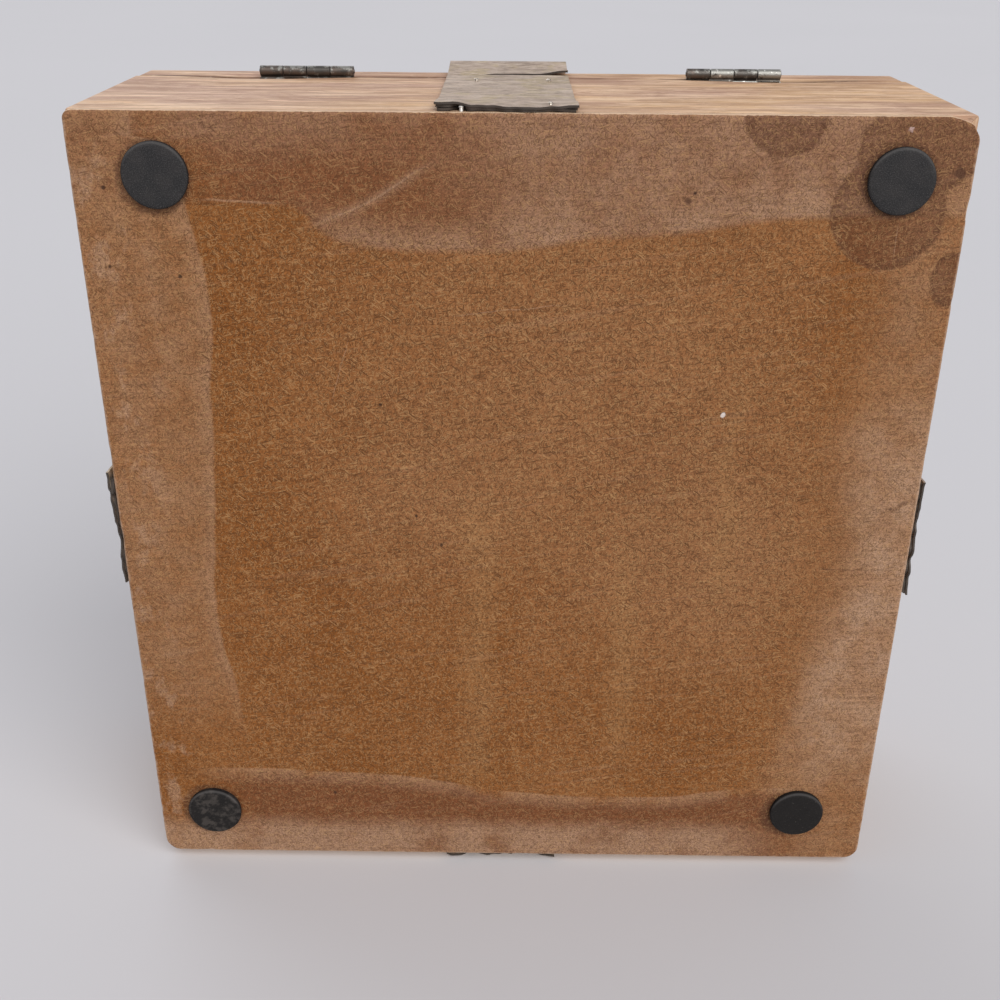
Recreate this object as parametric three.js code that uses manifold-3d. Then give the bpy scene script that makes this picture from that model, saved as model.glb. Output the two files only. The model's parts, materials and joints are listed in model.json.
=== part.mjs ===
// A shallow wooden box with a hinged lid. Its base is a hardboard panel on four stick-on pads,
// its walls are mitred, its lid is a mitred frame around a thin board, and a wide sheet-metal
// strap is tacked to the middle of each side and carried over the lid.
//
// Millimetres. +X right, -Y front, +Y rear (the hinges), +Z up. The origin is on the surface
// that the pads stand on, below the middle of the box.

import * as THREE from 'three';
import { mergeVertices } from 'three/addons/utils/BufferGeometryUtils.js';
import Module from 'manifold-3d';

const wasm = await Module();
wasm.setup();

// ---- driving dimensions -------------------------------------------------------------------

const BOX_WIDTH = 254; // X, outside the walls
const BOX_DEPTH = 263.4; // Y, outside the walls
const CORNER_RADIUS = 3; // upright corners, in plan
const WALL = 12.7; // walls and lid rails
const GLUE_LINE = 0.05; // between faces that are glued
const MITRE_GAP = 0.3; // between the two faces of a mitre

const PAD_DIAMETER = 19;
const PAD_HEIGHT = 1.95;
const PAD_EDGE = 0.4; // bevel round the foot of a pad
// The pads were stuck on by eye, so each has its own place.
const PADS = [
  { name: 'rear_right_pad', x: 102.5, y: 114.4 },
  { name: 'rear_left_pad', x: -106.6, y: 114.4 },
  { name: 'front_right_pad', x: 107.2, y: -111.9 },
  { name: 'front_left_pad', x: -102.3, y: -110 },
];

const BASE_PANEL = 4; // hardboard
// Its corners are rubbed round, one of them much more than the others.
const BASE_CORNERS = { rearRight: 2.5, rearLeft: 9, frontLeft: 5, frontRight: 5.5 };

const BODY_TOP = 76; // top edge of the walls
const SEAM = 1.5; // open joint between body and lid, filled by the hinge leaves
const LID_TOP = 96;
const LID_ROUNDOVER = 6; // upper outer edge of the lid
const LID_PANEL = 5; // board let into the lid frame
const LID_REBATE = 5.2; // how far the board runs over the rails

const STRAP_THICKNESS = 1;
const STRAP_LIFT = 0.3; // clear of the wood
const STRAP_WIDTH = 39.5;
const STRAP_SHIFT = 4; // front and rear straps sit this far towards +X
const STRAP_FOOT_LIFT = 0.9; // the loose lower end
const CROSSING_RAMP = 12; // how far out from the strap below the step up onto it begins
const CROSSING_CREST = 2; // and how far out it ends
const CROSSING_GAP = 0.4; // between the two straps

const BRAD_HEAD_RADIUS = 1.1;
const BRAD_HEAD_HEIGHT = 0.55;
const BRAD_SHANK_RADIUS = 0.6;
const BRAD_LENGTH = 9;
const BRAD_POINT = 1;
const BRAD_SPREAD = 11.5; // either side of a strap's middle
const REAR_BRAD_SHIFT = -1.6; // the rear strap's tacks miss its middle by this much
const LID_BRAD_INSET = 10; // in from the lid's edge, through the board and into the rail
const BRAD_LIFT = 0.15; // under its head
const HOLE_CLEARANCE = 0.3;
const HOLE_RUN_OUT = 1.5; // how far a hole's cutter passes the face that it is cut from

const LEAF_LENGTH = 31.5;
const BARREL_LENGTH = 29;
const HINGE_PLACE = 70; // either side of the middle
const HINGE_KNUCKLES = 4;
const KNUCKLE_GAP = 0.3;
const BARREL_RADIUS = 1.7;
const PIN_RADIUS = 0.75;
const PIN_CLEARANCE = 0.1;
const PIN_OVERHANG = 1.2;
const LEAF_THICKNESS = 0.65;
const LEAF_WIDTH = 11;
const KNUCKLE_ROOT = 1; // how far a knuckle's flap runs back into its leaf
const SCREW_SPREAD = 9;
const SCREW_HEAD_RADIUS = 1.9;
const SCREW_HEAD_DEPTH = 1.1;
const SCREW_SHANK_RADIUS = 0.95;
const SCREW_LENGTH = 8.5;
const SCREW_POINT = 1.6;

// ---- sizes that follow --------------------------------------------------------------------

const HALF_WIDTH = BOX_WIDTH / 2;
const HALF_DEPTH = BOX_DEPTH / 2;
const BASE_BOTTOM = PAD_HEIGHT + GLUE_LINE;
const WALL_BOTTOM = BASE_BOTTOM + BASE_PANEL + GLUE_LINE;
const LID_BOTTOM = BODY_TOP + SEAM;
const HINGE_HEIGHT = BODY_TOP + SEAM / 2;
const STRAP_FACE = STRAP_LIFT + STRAP_THICKNESS; // outer face of a strap, off the wood
const SEAM_EASE = 0.6; // straps stop this far short of the seam
const MITRE_EASE = MITRE_GAP / Math.SQRT2;
const STRAP_FOLD_PROUD = 2 * BARREL_RADIUS; // the fold at the lid's edge, level with the hinges

const ROUND = 16; // sides of a small round piece

// Each side is built facing +Y and then turned about the upright axis. `reach` is how far the
// side is from the middle of the box, `along` is half its length, and `strapX` and `bradX` are
// the middles of its strap and of the tacks in it.
const SIDES = [
  { name: 'rear', turn: 0, reach: HALF_DEPTH, along: HALF_WIDTH, strapX: STRAP_SHIFT,
    bradX: STRAP_SHIFT + REAR_BRAD_SHIFT },
  { name: 'left', turn: Math.PI / 2, reach: HALF_WIDTH, along: HALF_DEPTH, strapX: 0, bradX: 0 },
  { name: 'front', turn: Math.PI, reach: HALF_DEPTH, along: HALF_WIDTH, strapX: -STRAP_SHIFT,
    bradX: -STRAP_SHIFT },
  { name: 'right', turn: -Math.PI / 2, reach: HALF_WIDTH, along: HALF_DEPTH, strapX: 0, bradX: 0 },
];

const HINGES = [
  { name: 'left', x: -HINGE_PLACE },
  { name: 'right', x: HINGE_PLACE },
];

// ---- materials ----------------------------------------------------------------------------

const FINISHES = {
  wood: { color: 0xc9a184, roughness: 0.7, metalness: 0 },
  hardboard: { color: 0x9a6a48, roughness: 0.85, metalness: 0 },
  plywood: { color: 0xcfae8e, roughness: 0.7, metalness: 0 },
  pad: { color: 0x3a3838, roughness: 0.8, metalness: 0 },
  strap: { color: 0x9a9184, roughness: 0.5, metalness: 0.8 },
  hinge: { color: 0x4a3f36, roughness: 0.45, metalness: 0.9 },
  tack: { color: 0xa8a196, roughness: 0.4, metalness: 0.9 },
};

function named(name, geometry, finish) {
  const piece = new THREE.Mesh(geometry, new THREE.MeshStandardMaterial(FINISHES[finish]));
  piece.name = name;
  return piece;
}

// ---- joining and cutting ------------------------------------------------------------------

function toSolid(geometry) {
  const bare = geometry.clone();
  bare.deleteAttribute('normal');
  bare.deleteAttribute('uv');
  const merged = mergeVertices(bare, 1e-4);
  return new wasm.Manifold(new wasm.Mesh({
    numProp: 3,
    vertProperties: new Float32Array(merged.attributes.position.array),
    triVerts: new Uint32Array(merged.index.array),
  }));
}

function toGeometry(solid) {
  const mesh = solid.getMesh();
  const geometry = new THREE.BufferGeometry();
  geometry.setAttribute('position', new THREE.BufferAttribute(mesh.vertProperties, 3));
  geometry.setIndex(new THREE.BufferAttribute(mesh.triVerts, 1));
  geometry.computeVertexNormals();
  return geometry;
}

function cut(geometry, cutters) {
  const whole = toSolid(geometry);
  return toGeometry(cutters.reduce((solid, cutter) => solid.subtract(toSolid(cutter)), whole));
}

function join(geometries) {
  return toGeometry(geometries.map(toSolid).reduce((solid, next) => solid.add(next)));
}

// ---- shapes -------------------------------------------------------------------------------

// A rectangle about the origin with its own radius at each corner, anticlockwise from +X +Y.
function roundedRectangle(halfX, halfY, radii) {
  const shape = new THREE.Shape();
  const signs = [[1, 1], [-1, 1], [-1, -1], [1, -1]];
  signs.forEach(([signX, signY], corner) => {
    const radius = radii[corner];
    const from = corner * Math.PI / 2;
    shape.absarc(signX * (halfX - radius), signY * (halfY - radius), radius, from, from + Math.PI / 2);
  });
  shape.closePath();
  return shape;
}

function polygon(points) {
  return new THREE.Shape(points.map(([x, y]) => new THREE.Vector2(x, y)));
}

// Extrudes a plan outline upwards from height `from` to height `to`.
function upright(shape, from, to) {
  const geometry = new THREE.ExtrudeGeometry(shape, {
    depth: to - from, bevelEnabled: false, curveSegments: 5,
  });
  return geometry.translate(0, 0, from);
}

// Extrudes a side profile, drawn as [outwards, upwards] points, across X about x = middle.
function acrossX(points, width, middle) {
  const geometry = new THREE.ExtrudeGeometry(polygon(points), { depth: width, bevelEnabled: false });
  const profileToBox = new THREE.Matrix4().makeBasis(
    new THREE.Vector3(0, 1, 0), new THREE.Vector3(0, 0, 1), new THREE.Vector3(1, 0, 0));
  return geometry.applyMatrix4(profileToBox).translate(middle - width / 2, 0, 0);
}

function block(x, y, z) {
  const [sizeX, sizeY, sizeZ] = [x[1] - x[0], y[1] - y[0], z[1] - z[0]];
  return new THREE.BoxGeometry(sizeX, sizeY, sizeZ)
    .translate((x[0] + x[1]) / 2, (y[0] + y[1]) / 2, (z[0] + z[1]) / 2);
}

function rodAlongX(radius, from, to, y, z) {
  return new THREE.CylinderGeometry(radius, radius, to - from, ROUND)
    .rotateZ(Math.PI / 2).translate((from + to) / 2, y, z);
}

function turned(points) {
  return new THREE.LatheGeometry(points.map(([r, y]) => new THREE.Vector2(r, y)), ROUND - 4);
}

// ---- tacks and their holes, in a side's own frame -----------------------------------------

// A round-headed tack, its point at the bottom and the underside of its head at height 0.
function bradShape() {
  const head = [1, 0.92, 0.55, 0]
    .map((out) => [out * BRAD_HEAD_RADIUS, Math.sqrt(1 - out * out) * BRAD_HEAD_HEIGHT]);
  return turned([
    [0, -BRAD_LENGTH], [BRAD_SHANK_RADIUS, BRAD_POINT - BRAD_LENGTH], [BRAD_SHANK_RADIUS, 0],
    ...head,
  ]);
}

// The cutter for a tack's hole, which runs out past the face at height 0.
function bradHole() {
  const radius = BRAD_SHANK_RADIUS + HOLE_CLEARANCE;
  const depth = BRAD_LENGTH + HOLE_CLEARANCE + HOLE_RUN_OUT;
  return new THREE.CylinderGeometry(radius, radius, depth, 8)
    .translate(0, HOLE_RUN_OUT - depth / 2, 0);
}

// How far the outer face of a body strap stands off the wood at height z: flat above the
// middle of the wall, and lifting towards the loose lower end.
const BODY_STRAP = { foot: 7, flatFrom: 30, top: BODY_TOP - SEAM_EASE };

function bodyStrapFace(z) {
  const lift = (BODY_STRAP.flatFrom - z) / (BODY_STRAP.flatFrom - BODY_STRAP.foot);
  return STRAP_FACE + Math.max(0, lift) * (STRAP_FOOT_LIFT - STRAP_LIFT);
}

// The lid's strap leans out from the seam to the fold.
const LID_STRAP = { foot: LID_BOTTOM + SEAM_EASE, fold: LID_TOP + STRAP_FACE };

const BODY_BRADS = [
  { name: 'lower_left', x: -BRAD_SPREAD, z: 9.5 },
  { name: 'lower_right', x: BRAD_SPREAD, z: 9.5 },
  { name: 'upper_left', x: -BRAD_SPREAD, z: 61 },
  { name: 'upper_right', x: BRAD_SPREAD, z: 61 },
];

// The lid's tacks go down through its top, where the board lies on the rails.
const LID_BRADS = [{ name: 'left', x: -BRAD_SPREAD }, { name: 'right', x: BRAD_SPREAD }];

function bodyBradHoles(side) {
  return BODY_BRADS.map(({ x, z }) => (
    bradHole().translate(side.bradX + x, side.reach + bodyStrapFace(z), z)));
}

function lidBradHoles(side) {
  return LID_BRADS.map(({ x }) => (
    bradHole().rotateX(Math.PI / 2)
      .translate(side.strapX + x, side.reach - LID_BRAD_INSET, LID_STRAP.fold)));
}

function bodyBrads(side) {
  return BODY_BRADS.map(({ name, x, z }) => {
    const brad = named(`${side.name}_body_brad_${name}`, bradShape(), 'tack');
    brad.position.set(side.bradX + x, side.reach + bodyStrapFace(z) + BRAD_LIFT, z);
    return brad;
  });
}

function lidBrads(side) {
  return LID_BRADS.map(({ name, x }) => {
    const brad = named(`${side.name}_lid_brad_${name}`, bradShape(), 'tack');
    brad.rotation.x = Math.PI / 2;
    brad.position.set(
      side.strapX + x, side.reach - LID_BRAD_INSET, LID_STRAP.fold + BRAD_LIFT);
    return brad;
  });
}

// ---- hinge screws -------------------------------------------------------------------------

// A countersunk screw whose head is flush with height 0 and which points down. With a clearance
// it is the cutter for the screw's hole, and runs out past the face.
function screwShape(clearance = 0) {
  const head = SCREW_HEAD_RADIUS + clearance;
  const shank = SCREW_SHANK_RADIUS + clearance;
  const length = SCREW_LENGTH + clearance;
  const top = clearance > 0 ? [[head, HOLE_RUN_OUT], [0, HOLE_RUN_OUT]] : [[0, 0]];
  const profile = [
    [0, -length], [shank, SCREW_POINT - length], [shank, -SCREW_HEAD_DEPTH], [head, 0], ...top,
  ];
  return turned(profile).rotateX(Math.PI / 2);
}

const LEAVES = {
  body: { from: BODY_TOP + GLUE_LINE, flip: 1, knuckles: [0, 2] },
  lid: { from: LID_BOTTOM - GLUE_LINE - LEAF_THICKNESS, flip: -1, knuckles: [1, 3] },
};

// The face of a leaf that its screw heads are flush with.
function leafFace(leaf) {
  return leaf.flip > 0 ? leaf.from + LEAF_THICKNESS : leaf.from;
}

function screwPlaces(hinge) {
  const y = HALF_DEPTH - LEAF_WIDTH / 2;
  return [
    { name: 'outer', x: hinge.x + Math.sign(hinge.x) * SCREW_SPREAD, y },
    { name: 'inner', x: hinge.x - Math.sign(hinge.x) * SCREW_SPREAD, y },
  ];
}

function screwHoles(leaf, hinges) {
  return hinges.flatMap(screwPlaces).map(({ x, y }) => {
    const hole = screwShape(HOLE_CLEARANCE);
    if (leaf.flip < 0) hole.rotateX(Math.PI);
    return hole.translate(x, y, leafFace(leaf));
  });
}

// ---- the body -----------------------------------------------------------------------------

// Plan of one wall: square inside, its outer corners rounded and its ends mitred.
function wallOutline(side) {
  const along = side.along - MITRE_EASE;
  const arcX = along - CORNER_RADIUS;
  const arcY = side.reach - CORNER_RADIUS;
  const shape = new THREE.Shape();
  shape.moveTo(WALL - along, side.reach - WALL);
  shape.lineTo(along - WALL, side.reach - WALL);
  shape.absarc(arcX, arcY, CORNER_RADIUS, Math.PI / 4, Math.PI / 2);
  shape.absarc(-arcX, arcY, CORNER_RADIUS, Math.PI / 2, 0.75 * Math.PI);
  shape.closePath();
  return shape;
}

function wall(side) {
  const holes = bodyBradHoles(side);
  if (side.name === 'rear') holes.push(...screwHoles(LEAVES.body, HINGES));
  const board = upright(wallOutline(side), WALL_BOTTOM, BODY_TOP);
  return named(`${side.name}_wall`, cut(board, holes), 'wood');
}

function bodyStrap(side) {
  const { foot, flatFrom, top } = BODY_STRAP;
  const outer = [[bodyStrapFace(foot), foot], [STRAP_FACE, flatFrom], [STRAP_FACE, top]];
  const inner = outer.map(([out, z]) => [out - STRAP_THICKNESS, z]).reverse();
  const profile = [...outer, ...inner].map(([out, z]) => [side.reach + out, z]);
  const strip = acrossX(profile, STRAP_WIDTH, side.strapX);
  return named(`${side.name}_body_strap`, cut(strip, bodyBradHoles(side)), 'strap');
}

function basePanel() {
  const { rearRight, rearLeft, frontLeft, frontRight } = BASE_CORNERS;
  const radii = [rearRight, rearLeft, frontLeft, frontRight];
  const outline = roundedRectangle(HALF_WIDTH, HALF_DEPTH, radii);
  return named('base_panel', upright(outline, BASE_BOTTOM, BASE_BOTTOM + BASE_PANEL), 'hardboard');
}

function pads() {
  const r = PAD_DIAMETER / 2;
  const profile = [[0, 0], [r - PAD_EDGE, 0], [r, PAD_EDGE], [r, PAD_HEIGHT], [0, PAD_HEIGHT]]
    .map(([x, y]) => new THREE.Vector2(x, y));
  return PADS.map(({ name, x, y }) => {
    const pad = named(name, new THREE.LatheGeometry(profile, 32), 'pad');
    pad.rotation.x = Math.PI / 2;
    pad.position.set(x, y, 0);
    return pad;
  });
}

// ---- the lid ------------------------------------------------------------------------------

// A lid rail is a moulding, rounded along its upper outer edge and rebated inside for the
// board, sawn to the same mitred plan as the wall below it.
function railProfile(side) {
  const { reach } = side;
  const r = LID_ROUNDOVER;
  const steps = 7;
  const roundover = Array.from({ length: steps + 1 }, (_, step) => {
    const angle = (step / steps) * (Math.PI / 2);
    return [reach - r + r * Math.cos(angle), LID_TOP - r + r * Math.sin(angle)];
  });
  const inside = reach - WALL;
  const rebateFloor = LID_TOP - LID_PANEL - GLUE_LINE;
  return [
    [inside, LID_BOTTOM], [reach, LID_BOTTOM], ...roundover,
    [inside + LID_REBATE, LID_TOP], [inside + LID_REBATE, rebateFloor], [inside, rebateFloor],
  ];
}

function lidRail(side) {
  const moulding = acrossX(railProfile(side), 2 * side.along, 0);
  const sawn = toSolid(moulding).intersect(toSolid(upright(wallOutline(side), LID_BOTTOM, LID_TOP)));
  const holes = lidBradHoles(side);
  if (side.name === 'rear') holes.push(...screwHoles(LEAVES.lid, HINGES));
  return named(`lid_${side.name}_rail`, cut(toGeometry(sawn), holes), 'wood');
}

function lidPanel() {
  const halfX = HALF_WIDTH - WALL + LID_REBATE - GLUE_LINE;
  const halfY = HALF_DEPTH - WALL + LID_REBATE - GLUE_LINE;
  const board = block([-halfX, halfX], [-halfY, halfY], [LID_TOP - LID_PANEL, LID_TOP]);
  const holes = SIDES.flatMap((side) => lidBradHoles(side).map((hole) => hole.rotateZ(side.turn)));
  return named('lid_panel', cut(board, holes), 'plywood');
}

// One strap over the lid: up one side, folded over its edge, across and down the other side.
// `step` lifts its middle over the strap it crosses.
function lidStrap(name, side, step) {
  const { foot, fold } = LID_STRAP;
  const foldOut = side.reach + STRAP_FOLD_PROUD;
  const ramp = [STRAP_WIDTH / 2 + CROSSING_RAMP, STRAP_WIDTH / 2 + CROSSING_CREST];
  const hump = step > 0 ? [[ramp[0], fold], [ramp[1], fold + step]] : [];
  const outer = [[side.reach + STRAP_FACE, foot], [foldOut, fold], ...hump];
  const inner = [
    [side.reach + STRAP_LIFT, foot], [foldOut - STRAP_THICKNESS, fold - STRAP_THICKNESS],
    ...hump.map(([out, z]) => [out, z - STRAP_THICKNESS]),
  ];
  const endToEnd = (half) => [...half, ...half.map(([out, z]) => [-out, z]).reverse()];
  const profile = [...endToEnd(outer), ...endToEnd(inner).reverse()];
  const strip = acrossX(profile, STRAP_WIDTH, side.strapX);
  const near = lidBradHoles(side);
  const far = near.map((hole) => hole.clone().rotateZ(Math.PI).translate(2 * side.strapX, 0, 0));
  return named(name, cut(strip, [...near, ...far]), 'strap');
}

// ---- the hinges ---------------------------------------------------------------------------

function knuckleSpan(hinge, index) {
  const pitch = (BARREL_LENGTH + KNUCKLE_GAP) / HINGE_KNUCKLES;
  const from = hinge.x - BARREL_LENGTH / 2 + index * pitch;
  return [from, from + pitch - KNUCKLE_GAP];
}

const HINGE_AXIS_Y = HALF_DEPTH + BARREL_RADIUS;

function hingeLeaf(hinge, part) {
  const leaf = LEAVES[part];
  const height = [leaf.from, leaf.from + LEAF_THICKNESS];
  const edge = HALF_DEPTH - KNUCKLE_GAP;
  const halfLength = LEAF_LENGTH / 2;
  const plate = block(
    [hinge.x - halfLength, hinge.x + halfLength], [HALF_DEPTH - LEAF_WIDTH, edge], height);
  const knuckles = leaf.knuckles.flatMap((index) => {
    const span = knuckleSpan(hinge, index);
    return [
      block(span, [edge - KNUCKLE_ROOT, HINGE_AXIS_Y], height),
      rodAlongX(BARREL_RADIUS, span[0], span[1], HINGE_AXIS_Y, HINGE_HEIGHT),
    ];
  });
  const bore = rodAlongX(
    PIN_RADIUS + PIN_CLEARANCE, hinge.x - LEAF_LENGTH, hinge.x + LEAF_LENGTH,
    HINGE_AXIS_Y, HINGE_HEIGHT);
  const shape = cut(join([plate, ...knuckles]), [bore, ...screwHoles(leaf, [hinge])]);
  return named(`${hinge.name}_hinge_${part}_leaf`, shape, 'hinge');
}

function hingePin(hinge) {
  const reach = BARREL_LENGTH / 2 + PIN_OVERHANG;
  const pin = rodAlongX(PIN_RADIUS, hinge.x - reach, hinge.x + reach, HINGE_AXIS_Y, HINGE_HEIGHT);
  return named(`${hinge.name}_hinge_pin`, pin, 'hinge');
}

function hingeScrews(hinge, part) {
  const leaf = LEAVES[part];
  return screwPlaces(hinge).map(({ name, x, y }) => {
    const shape = screwShape();
    if (leaf.flip < 0) shape.rotateX(Math.PI);
    const screw = named(`${hinge.name}_hinge_${part}_screw_${name}`, shape, 'hinge');
    screw.position.set(x, y, leafFace(leaf));
    return screw;
  });
}

// ---- the whole box ------------------------------------------------------------------------

function turnedSide(side, pieces) {
  const group = new THREE.Group();
  group.rotation.z = side.turn;
  group.add(...pieces);
  return group;
}

function body() {
  const group = new THREE.Group();
  group.add(basePanel(), ...pads());
  for (const side of SIDES) {
    group.add(turnedSide(side, [wall(side), bodyStrap(side), ...bodyBrads(side)]));
  }
  for (const hinge of HINGES) {
    group.add(hingeLeaf(hinge, 'body'), hingePin(hinge), ...hingeScrews(hinge, 'body'));
  }
  return group;
}

function lid() {
  const group = new THREE.Group();
  group.add(lidPanel());
  for (const side of SIDES) {
    group.add(turnedSide(side, [lidRail(side), ...lidBrads(side)]));
  }
  const [rear, left] = SIDES;
  const crossingStep = STRAP_THICKNESS + CROSSING_GAP;
  group.add(turnedSide(left, [lidStrap('lid_strap_across', left, 0)]));
  group.add(turnedSide(rear, [lidStrap('lid_strap_lengthwise', rear, crossingStep)]));
  for (const hinge of HINGES) {
    group.add(hingeLeaf(hinge, 'lid'), ...hingeScrews(hinge, 'lid'));
  }
  return group;
}

const box = new THREE.Group();
box.add(body(), lid());

export default box;
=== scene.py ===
"""The looks of a worn wooden box with a hinged lid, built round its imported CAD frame.

The box stands on its front, so its hardboard underside faces the camera and its rear, with the
hinges, faces up. Frame: metres, +X right, +Y rear, +Z up through the lid. The mesh code below
works in millimetres, and `piece` scales the result.
"""

import json
import math
from collections import namedtuple

import bmesh
import bpy
from mathutils import Matrix, Vector, noise


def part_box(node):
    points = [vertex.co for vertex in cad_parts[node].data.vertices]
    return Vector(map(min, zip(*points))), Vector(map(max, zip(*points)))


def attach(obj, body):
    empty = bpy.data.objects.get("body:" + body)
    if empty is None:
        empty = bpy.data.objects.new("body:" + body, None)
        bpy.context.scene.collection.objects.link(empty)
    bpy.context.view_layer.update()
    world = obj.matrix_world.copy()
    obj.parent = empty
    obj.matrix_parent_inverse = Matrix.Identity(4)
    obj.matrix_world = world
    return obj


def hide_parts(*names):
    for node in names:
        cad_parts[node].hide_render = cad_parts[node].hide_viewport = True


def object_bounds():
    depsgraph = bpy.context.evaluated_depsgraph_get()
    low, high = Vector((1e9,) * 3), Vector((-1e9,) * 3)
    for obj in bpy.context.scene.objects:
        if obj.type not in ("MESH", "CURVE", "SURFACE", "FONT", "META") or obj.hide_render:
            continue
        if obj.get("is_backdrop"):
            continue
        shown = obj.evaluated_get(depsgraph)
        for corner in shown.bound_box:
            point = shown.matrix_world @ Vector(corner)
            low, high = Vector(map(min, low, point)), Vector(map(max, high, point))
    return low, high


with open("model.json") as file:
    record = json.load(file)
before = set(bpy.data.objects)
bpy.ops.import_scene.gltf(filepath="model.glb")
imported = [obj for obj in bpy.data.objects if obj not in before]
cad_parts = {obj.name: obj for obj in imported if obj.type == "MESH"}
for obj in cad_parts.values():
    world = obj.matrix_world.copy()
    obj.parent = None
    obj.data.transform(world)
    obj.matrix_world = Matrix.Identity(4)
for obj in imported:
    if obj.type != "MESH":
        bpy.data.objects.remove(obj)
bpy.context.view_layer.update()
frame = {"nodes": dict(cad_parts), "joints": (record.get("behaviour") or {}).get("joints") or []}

MM = 0.001

# ---- sizes, in millimetres ------------------------------------------------------------------


def box_mm(node):
    low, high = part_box(node)
    return low / MM, high / MM


BASE_LOW, BASE_HIGH = box_mm("base_panel")
WALL_LOW, WALL_HIGH = box_mm("rear_wall")
RAIL_LOW, RAIL_HIGH = box_mm("lid_rear_rail")
PANEL_LOW, PANEL_HIGH = box_mm("lid_panel")
HALF_WIDTH, HALF_DEPTH = BASE_HIGH.x, BASE_HIGH.y

Side = namedtuple("Side", "name axis turn reach along")
SIDES = {side.name: side for side in (
    Side("rear", "x", 0.0, HALF_DEPTH, HALF_WIDTH),
    Side("left", "y", math.pi / 2, HALF_WIDTH, HALF_DEPTH),
    Side("front", "x", math.pi, HALF_DEPTH, HALF_WIDTH),
    Side("right", "y", -math.pi / 2, HALF_WIDTH, HALF_DEPTH),
)}


def side_box(side, node):
    """A node's box in its side's own frame, in which the side faces +Y."""
    low, high = box_mm(node)
    back = Matrix.Rotation(-side.turn, 3, "Z")
    corners = [back @ Vector((x, y, 0)) for x in (low.x, high.x) for y in (low.y, high.y)]
    xs, ys = [c.x for c in corners], [c.y for c in corners]
    return Vector((min(xs), min(ys), low.z)), Vector((max(xs), max(ys), high.z))


def nodes_with(text):
    return sorted(node for node in frame["nodes"] if text in node)


def body_of(node):
    return "lid" if "_lid_" in node else "body"


# ---- small sums -----------------------------------------------------------------------------


def smooth(low, high, value):
    t = min(1.0, max(0.0, (value - low) / (high - low)))
    return t * t * (3 - 2 * t)


def wobble(x, y, z, size, seed=0.0):
    """Smooth noise from about -1 to 1, with lumps about `size` across."""
    return noise.noise(Vector((x / size + seed, y / size - seed, z / size + 2 * seed)))


def circle(steps):
    """Points evenly round a circle of radius 1."""
    angles = [2 * math.pi * i / steps for i in range(steps)]
    return [(math.cos(a), math.sin(a)) for a in angles]


# ---- meshes ---------------------------------------------------------------------------------


def ringed(outline, levels, place):
    """One ring for each level: the outline's points as `place(*point, *level)` puts them."""
    return [[place(*point, *level) for point in outline] for level in levels]


def loft(rings, cap_first=True, cap_last=True):
    """Closed rings of equal length, joined one to the next."""
    count = len(rings[0])
    vertices = [point for ring in rings for point in ring]
    faces = []
    for row in range(len(rings) - 1):
        for i in range(count):
            j = (i + 1) % count
            start, end = row * count, (row + 1) * count
            faces.append((start + i, start + j, end + j, end + i))
    last = (len(rings) - 1) * count
    if cap_first:
        faces.append(tuple(reversed(range(count))))
    if cap_last:
        faces.append(tuple(range(last, last + count)))
    return vertices, faces


def merged(*shapes):
    """Several (vertices, faces) shapes as one."""
    vertices, faces = [], []
    for shape_vertices, shape_faces in shapes:
        start = len(vertices)
        vertices += shape_vertices
        faces += [tuple(start + i for i in face) for face in shape_faces]
    return vertices, faces


def placed(shape, matrix):
    vertices, faces = shape
    return [matrix @ Vector(point) for point in vertices], faces


def turned(shape, side):
    return placed(shape, Matrix.Rotation(side.turn, 4, "Z"))


def lathe(profile, steps):
    """A closed solid turned round Z from (radius, z) points, the first and last on the axis."""
    rings = ringed(circle(steps), profile[1:-1], lambda cx, cy, r, z: (r * cx, r * cy, z))
    vertices, faces = loft(rings, cap_first=False, cap_last=False)
    for ring, z, flip in ((0, profile[0][1], True), (len(rings) - 1, profile[-1][1], False)):
        tip = len(vertices)
        vertices.append((0, 0, z))
        for i in range(steps):
            a, b = ring * steps + i, ring * steps + (i + 1) % steps
            faces.append((b, a, tip) if flip else (a, b, tip))
    return vertices, faces


def arc_corner(before, corner, after, radius, steps):
    """Points of the arc that rounds one corner of a flat outline."""
    before, corner, after = Vector(before), Vector(corner), Vector(after)
    back, on = (before - corner).normalized(), (after - corner).normalized()
    half = back.angle(on) / 2
    middle = corner + (back + on).normalized() * radius / math.sin(half)
    first = corner + back * radius / math.tan(half) - middle
    last = corner + on * radius / math.tan(half) - middle
    start = math.atan2(first.y, first.x)
    sweep = math.atan2(last.y, last.x) - start
    sweep = (sweep + math.pi) % (2 * math.pi) - math.pi
    angles = [start + sweep * i / steps for i in range(steps + 1)]
    return [(middle.x + radius * math.cos(a), middle.y + radius * math.sin(a)) for a in angles]


def rounded(corners, radii, steps=4):
    """A closed outline with each corner rounded to its own radius."""
    outline = []
    for i, corner in enumerate(corners):
        before, after = corners[i - 1], corners[(i + 1) % len(corners)]
        outline += arc_corner(before, corner, after, radii[i], steps)
    return outline


def spaced(outline, step):
    """A closed outline with its long stretches cut into pieces of at most `step`."""
    points = []
    for i, a in enumerate(outline):
        b = outline[(i + 1) % len(outline)]
        cuts = max(1, math.ceil(math.dist(a, b) / step))
        points += [tuple(p + (q - p) * k / cuts for p, q in zip(a, b)) for k in range(cuts)]
    return points


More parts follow.
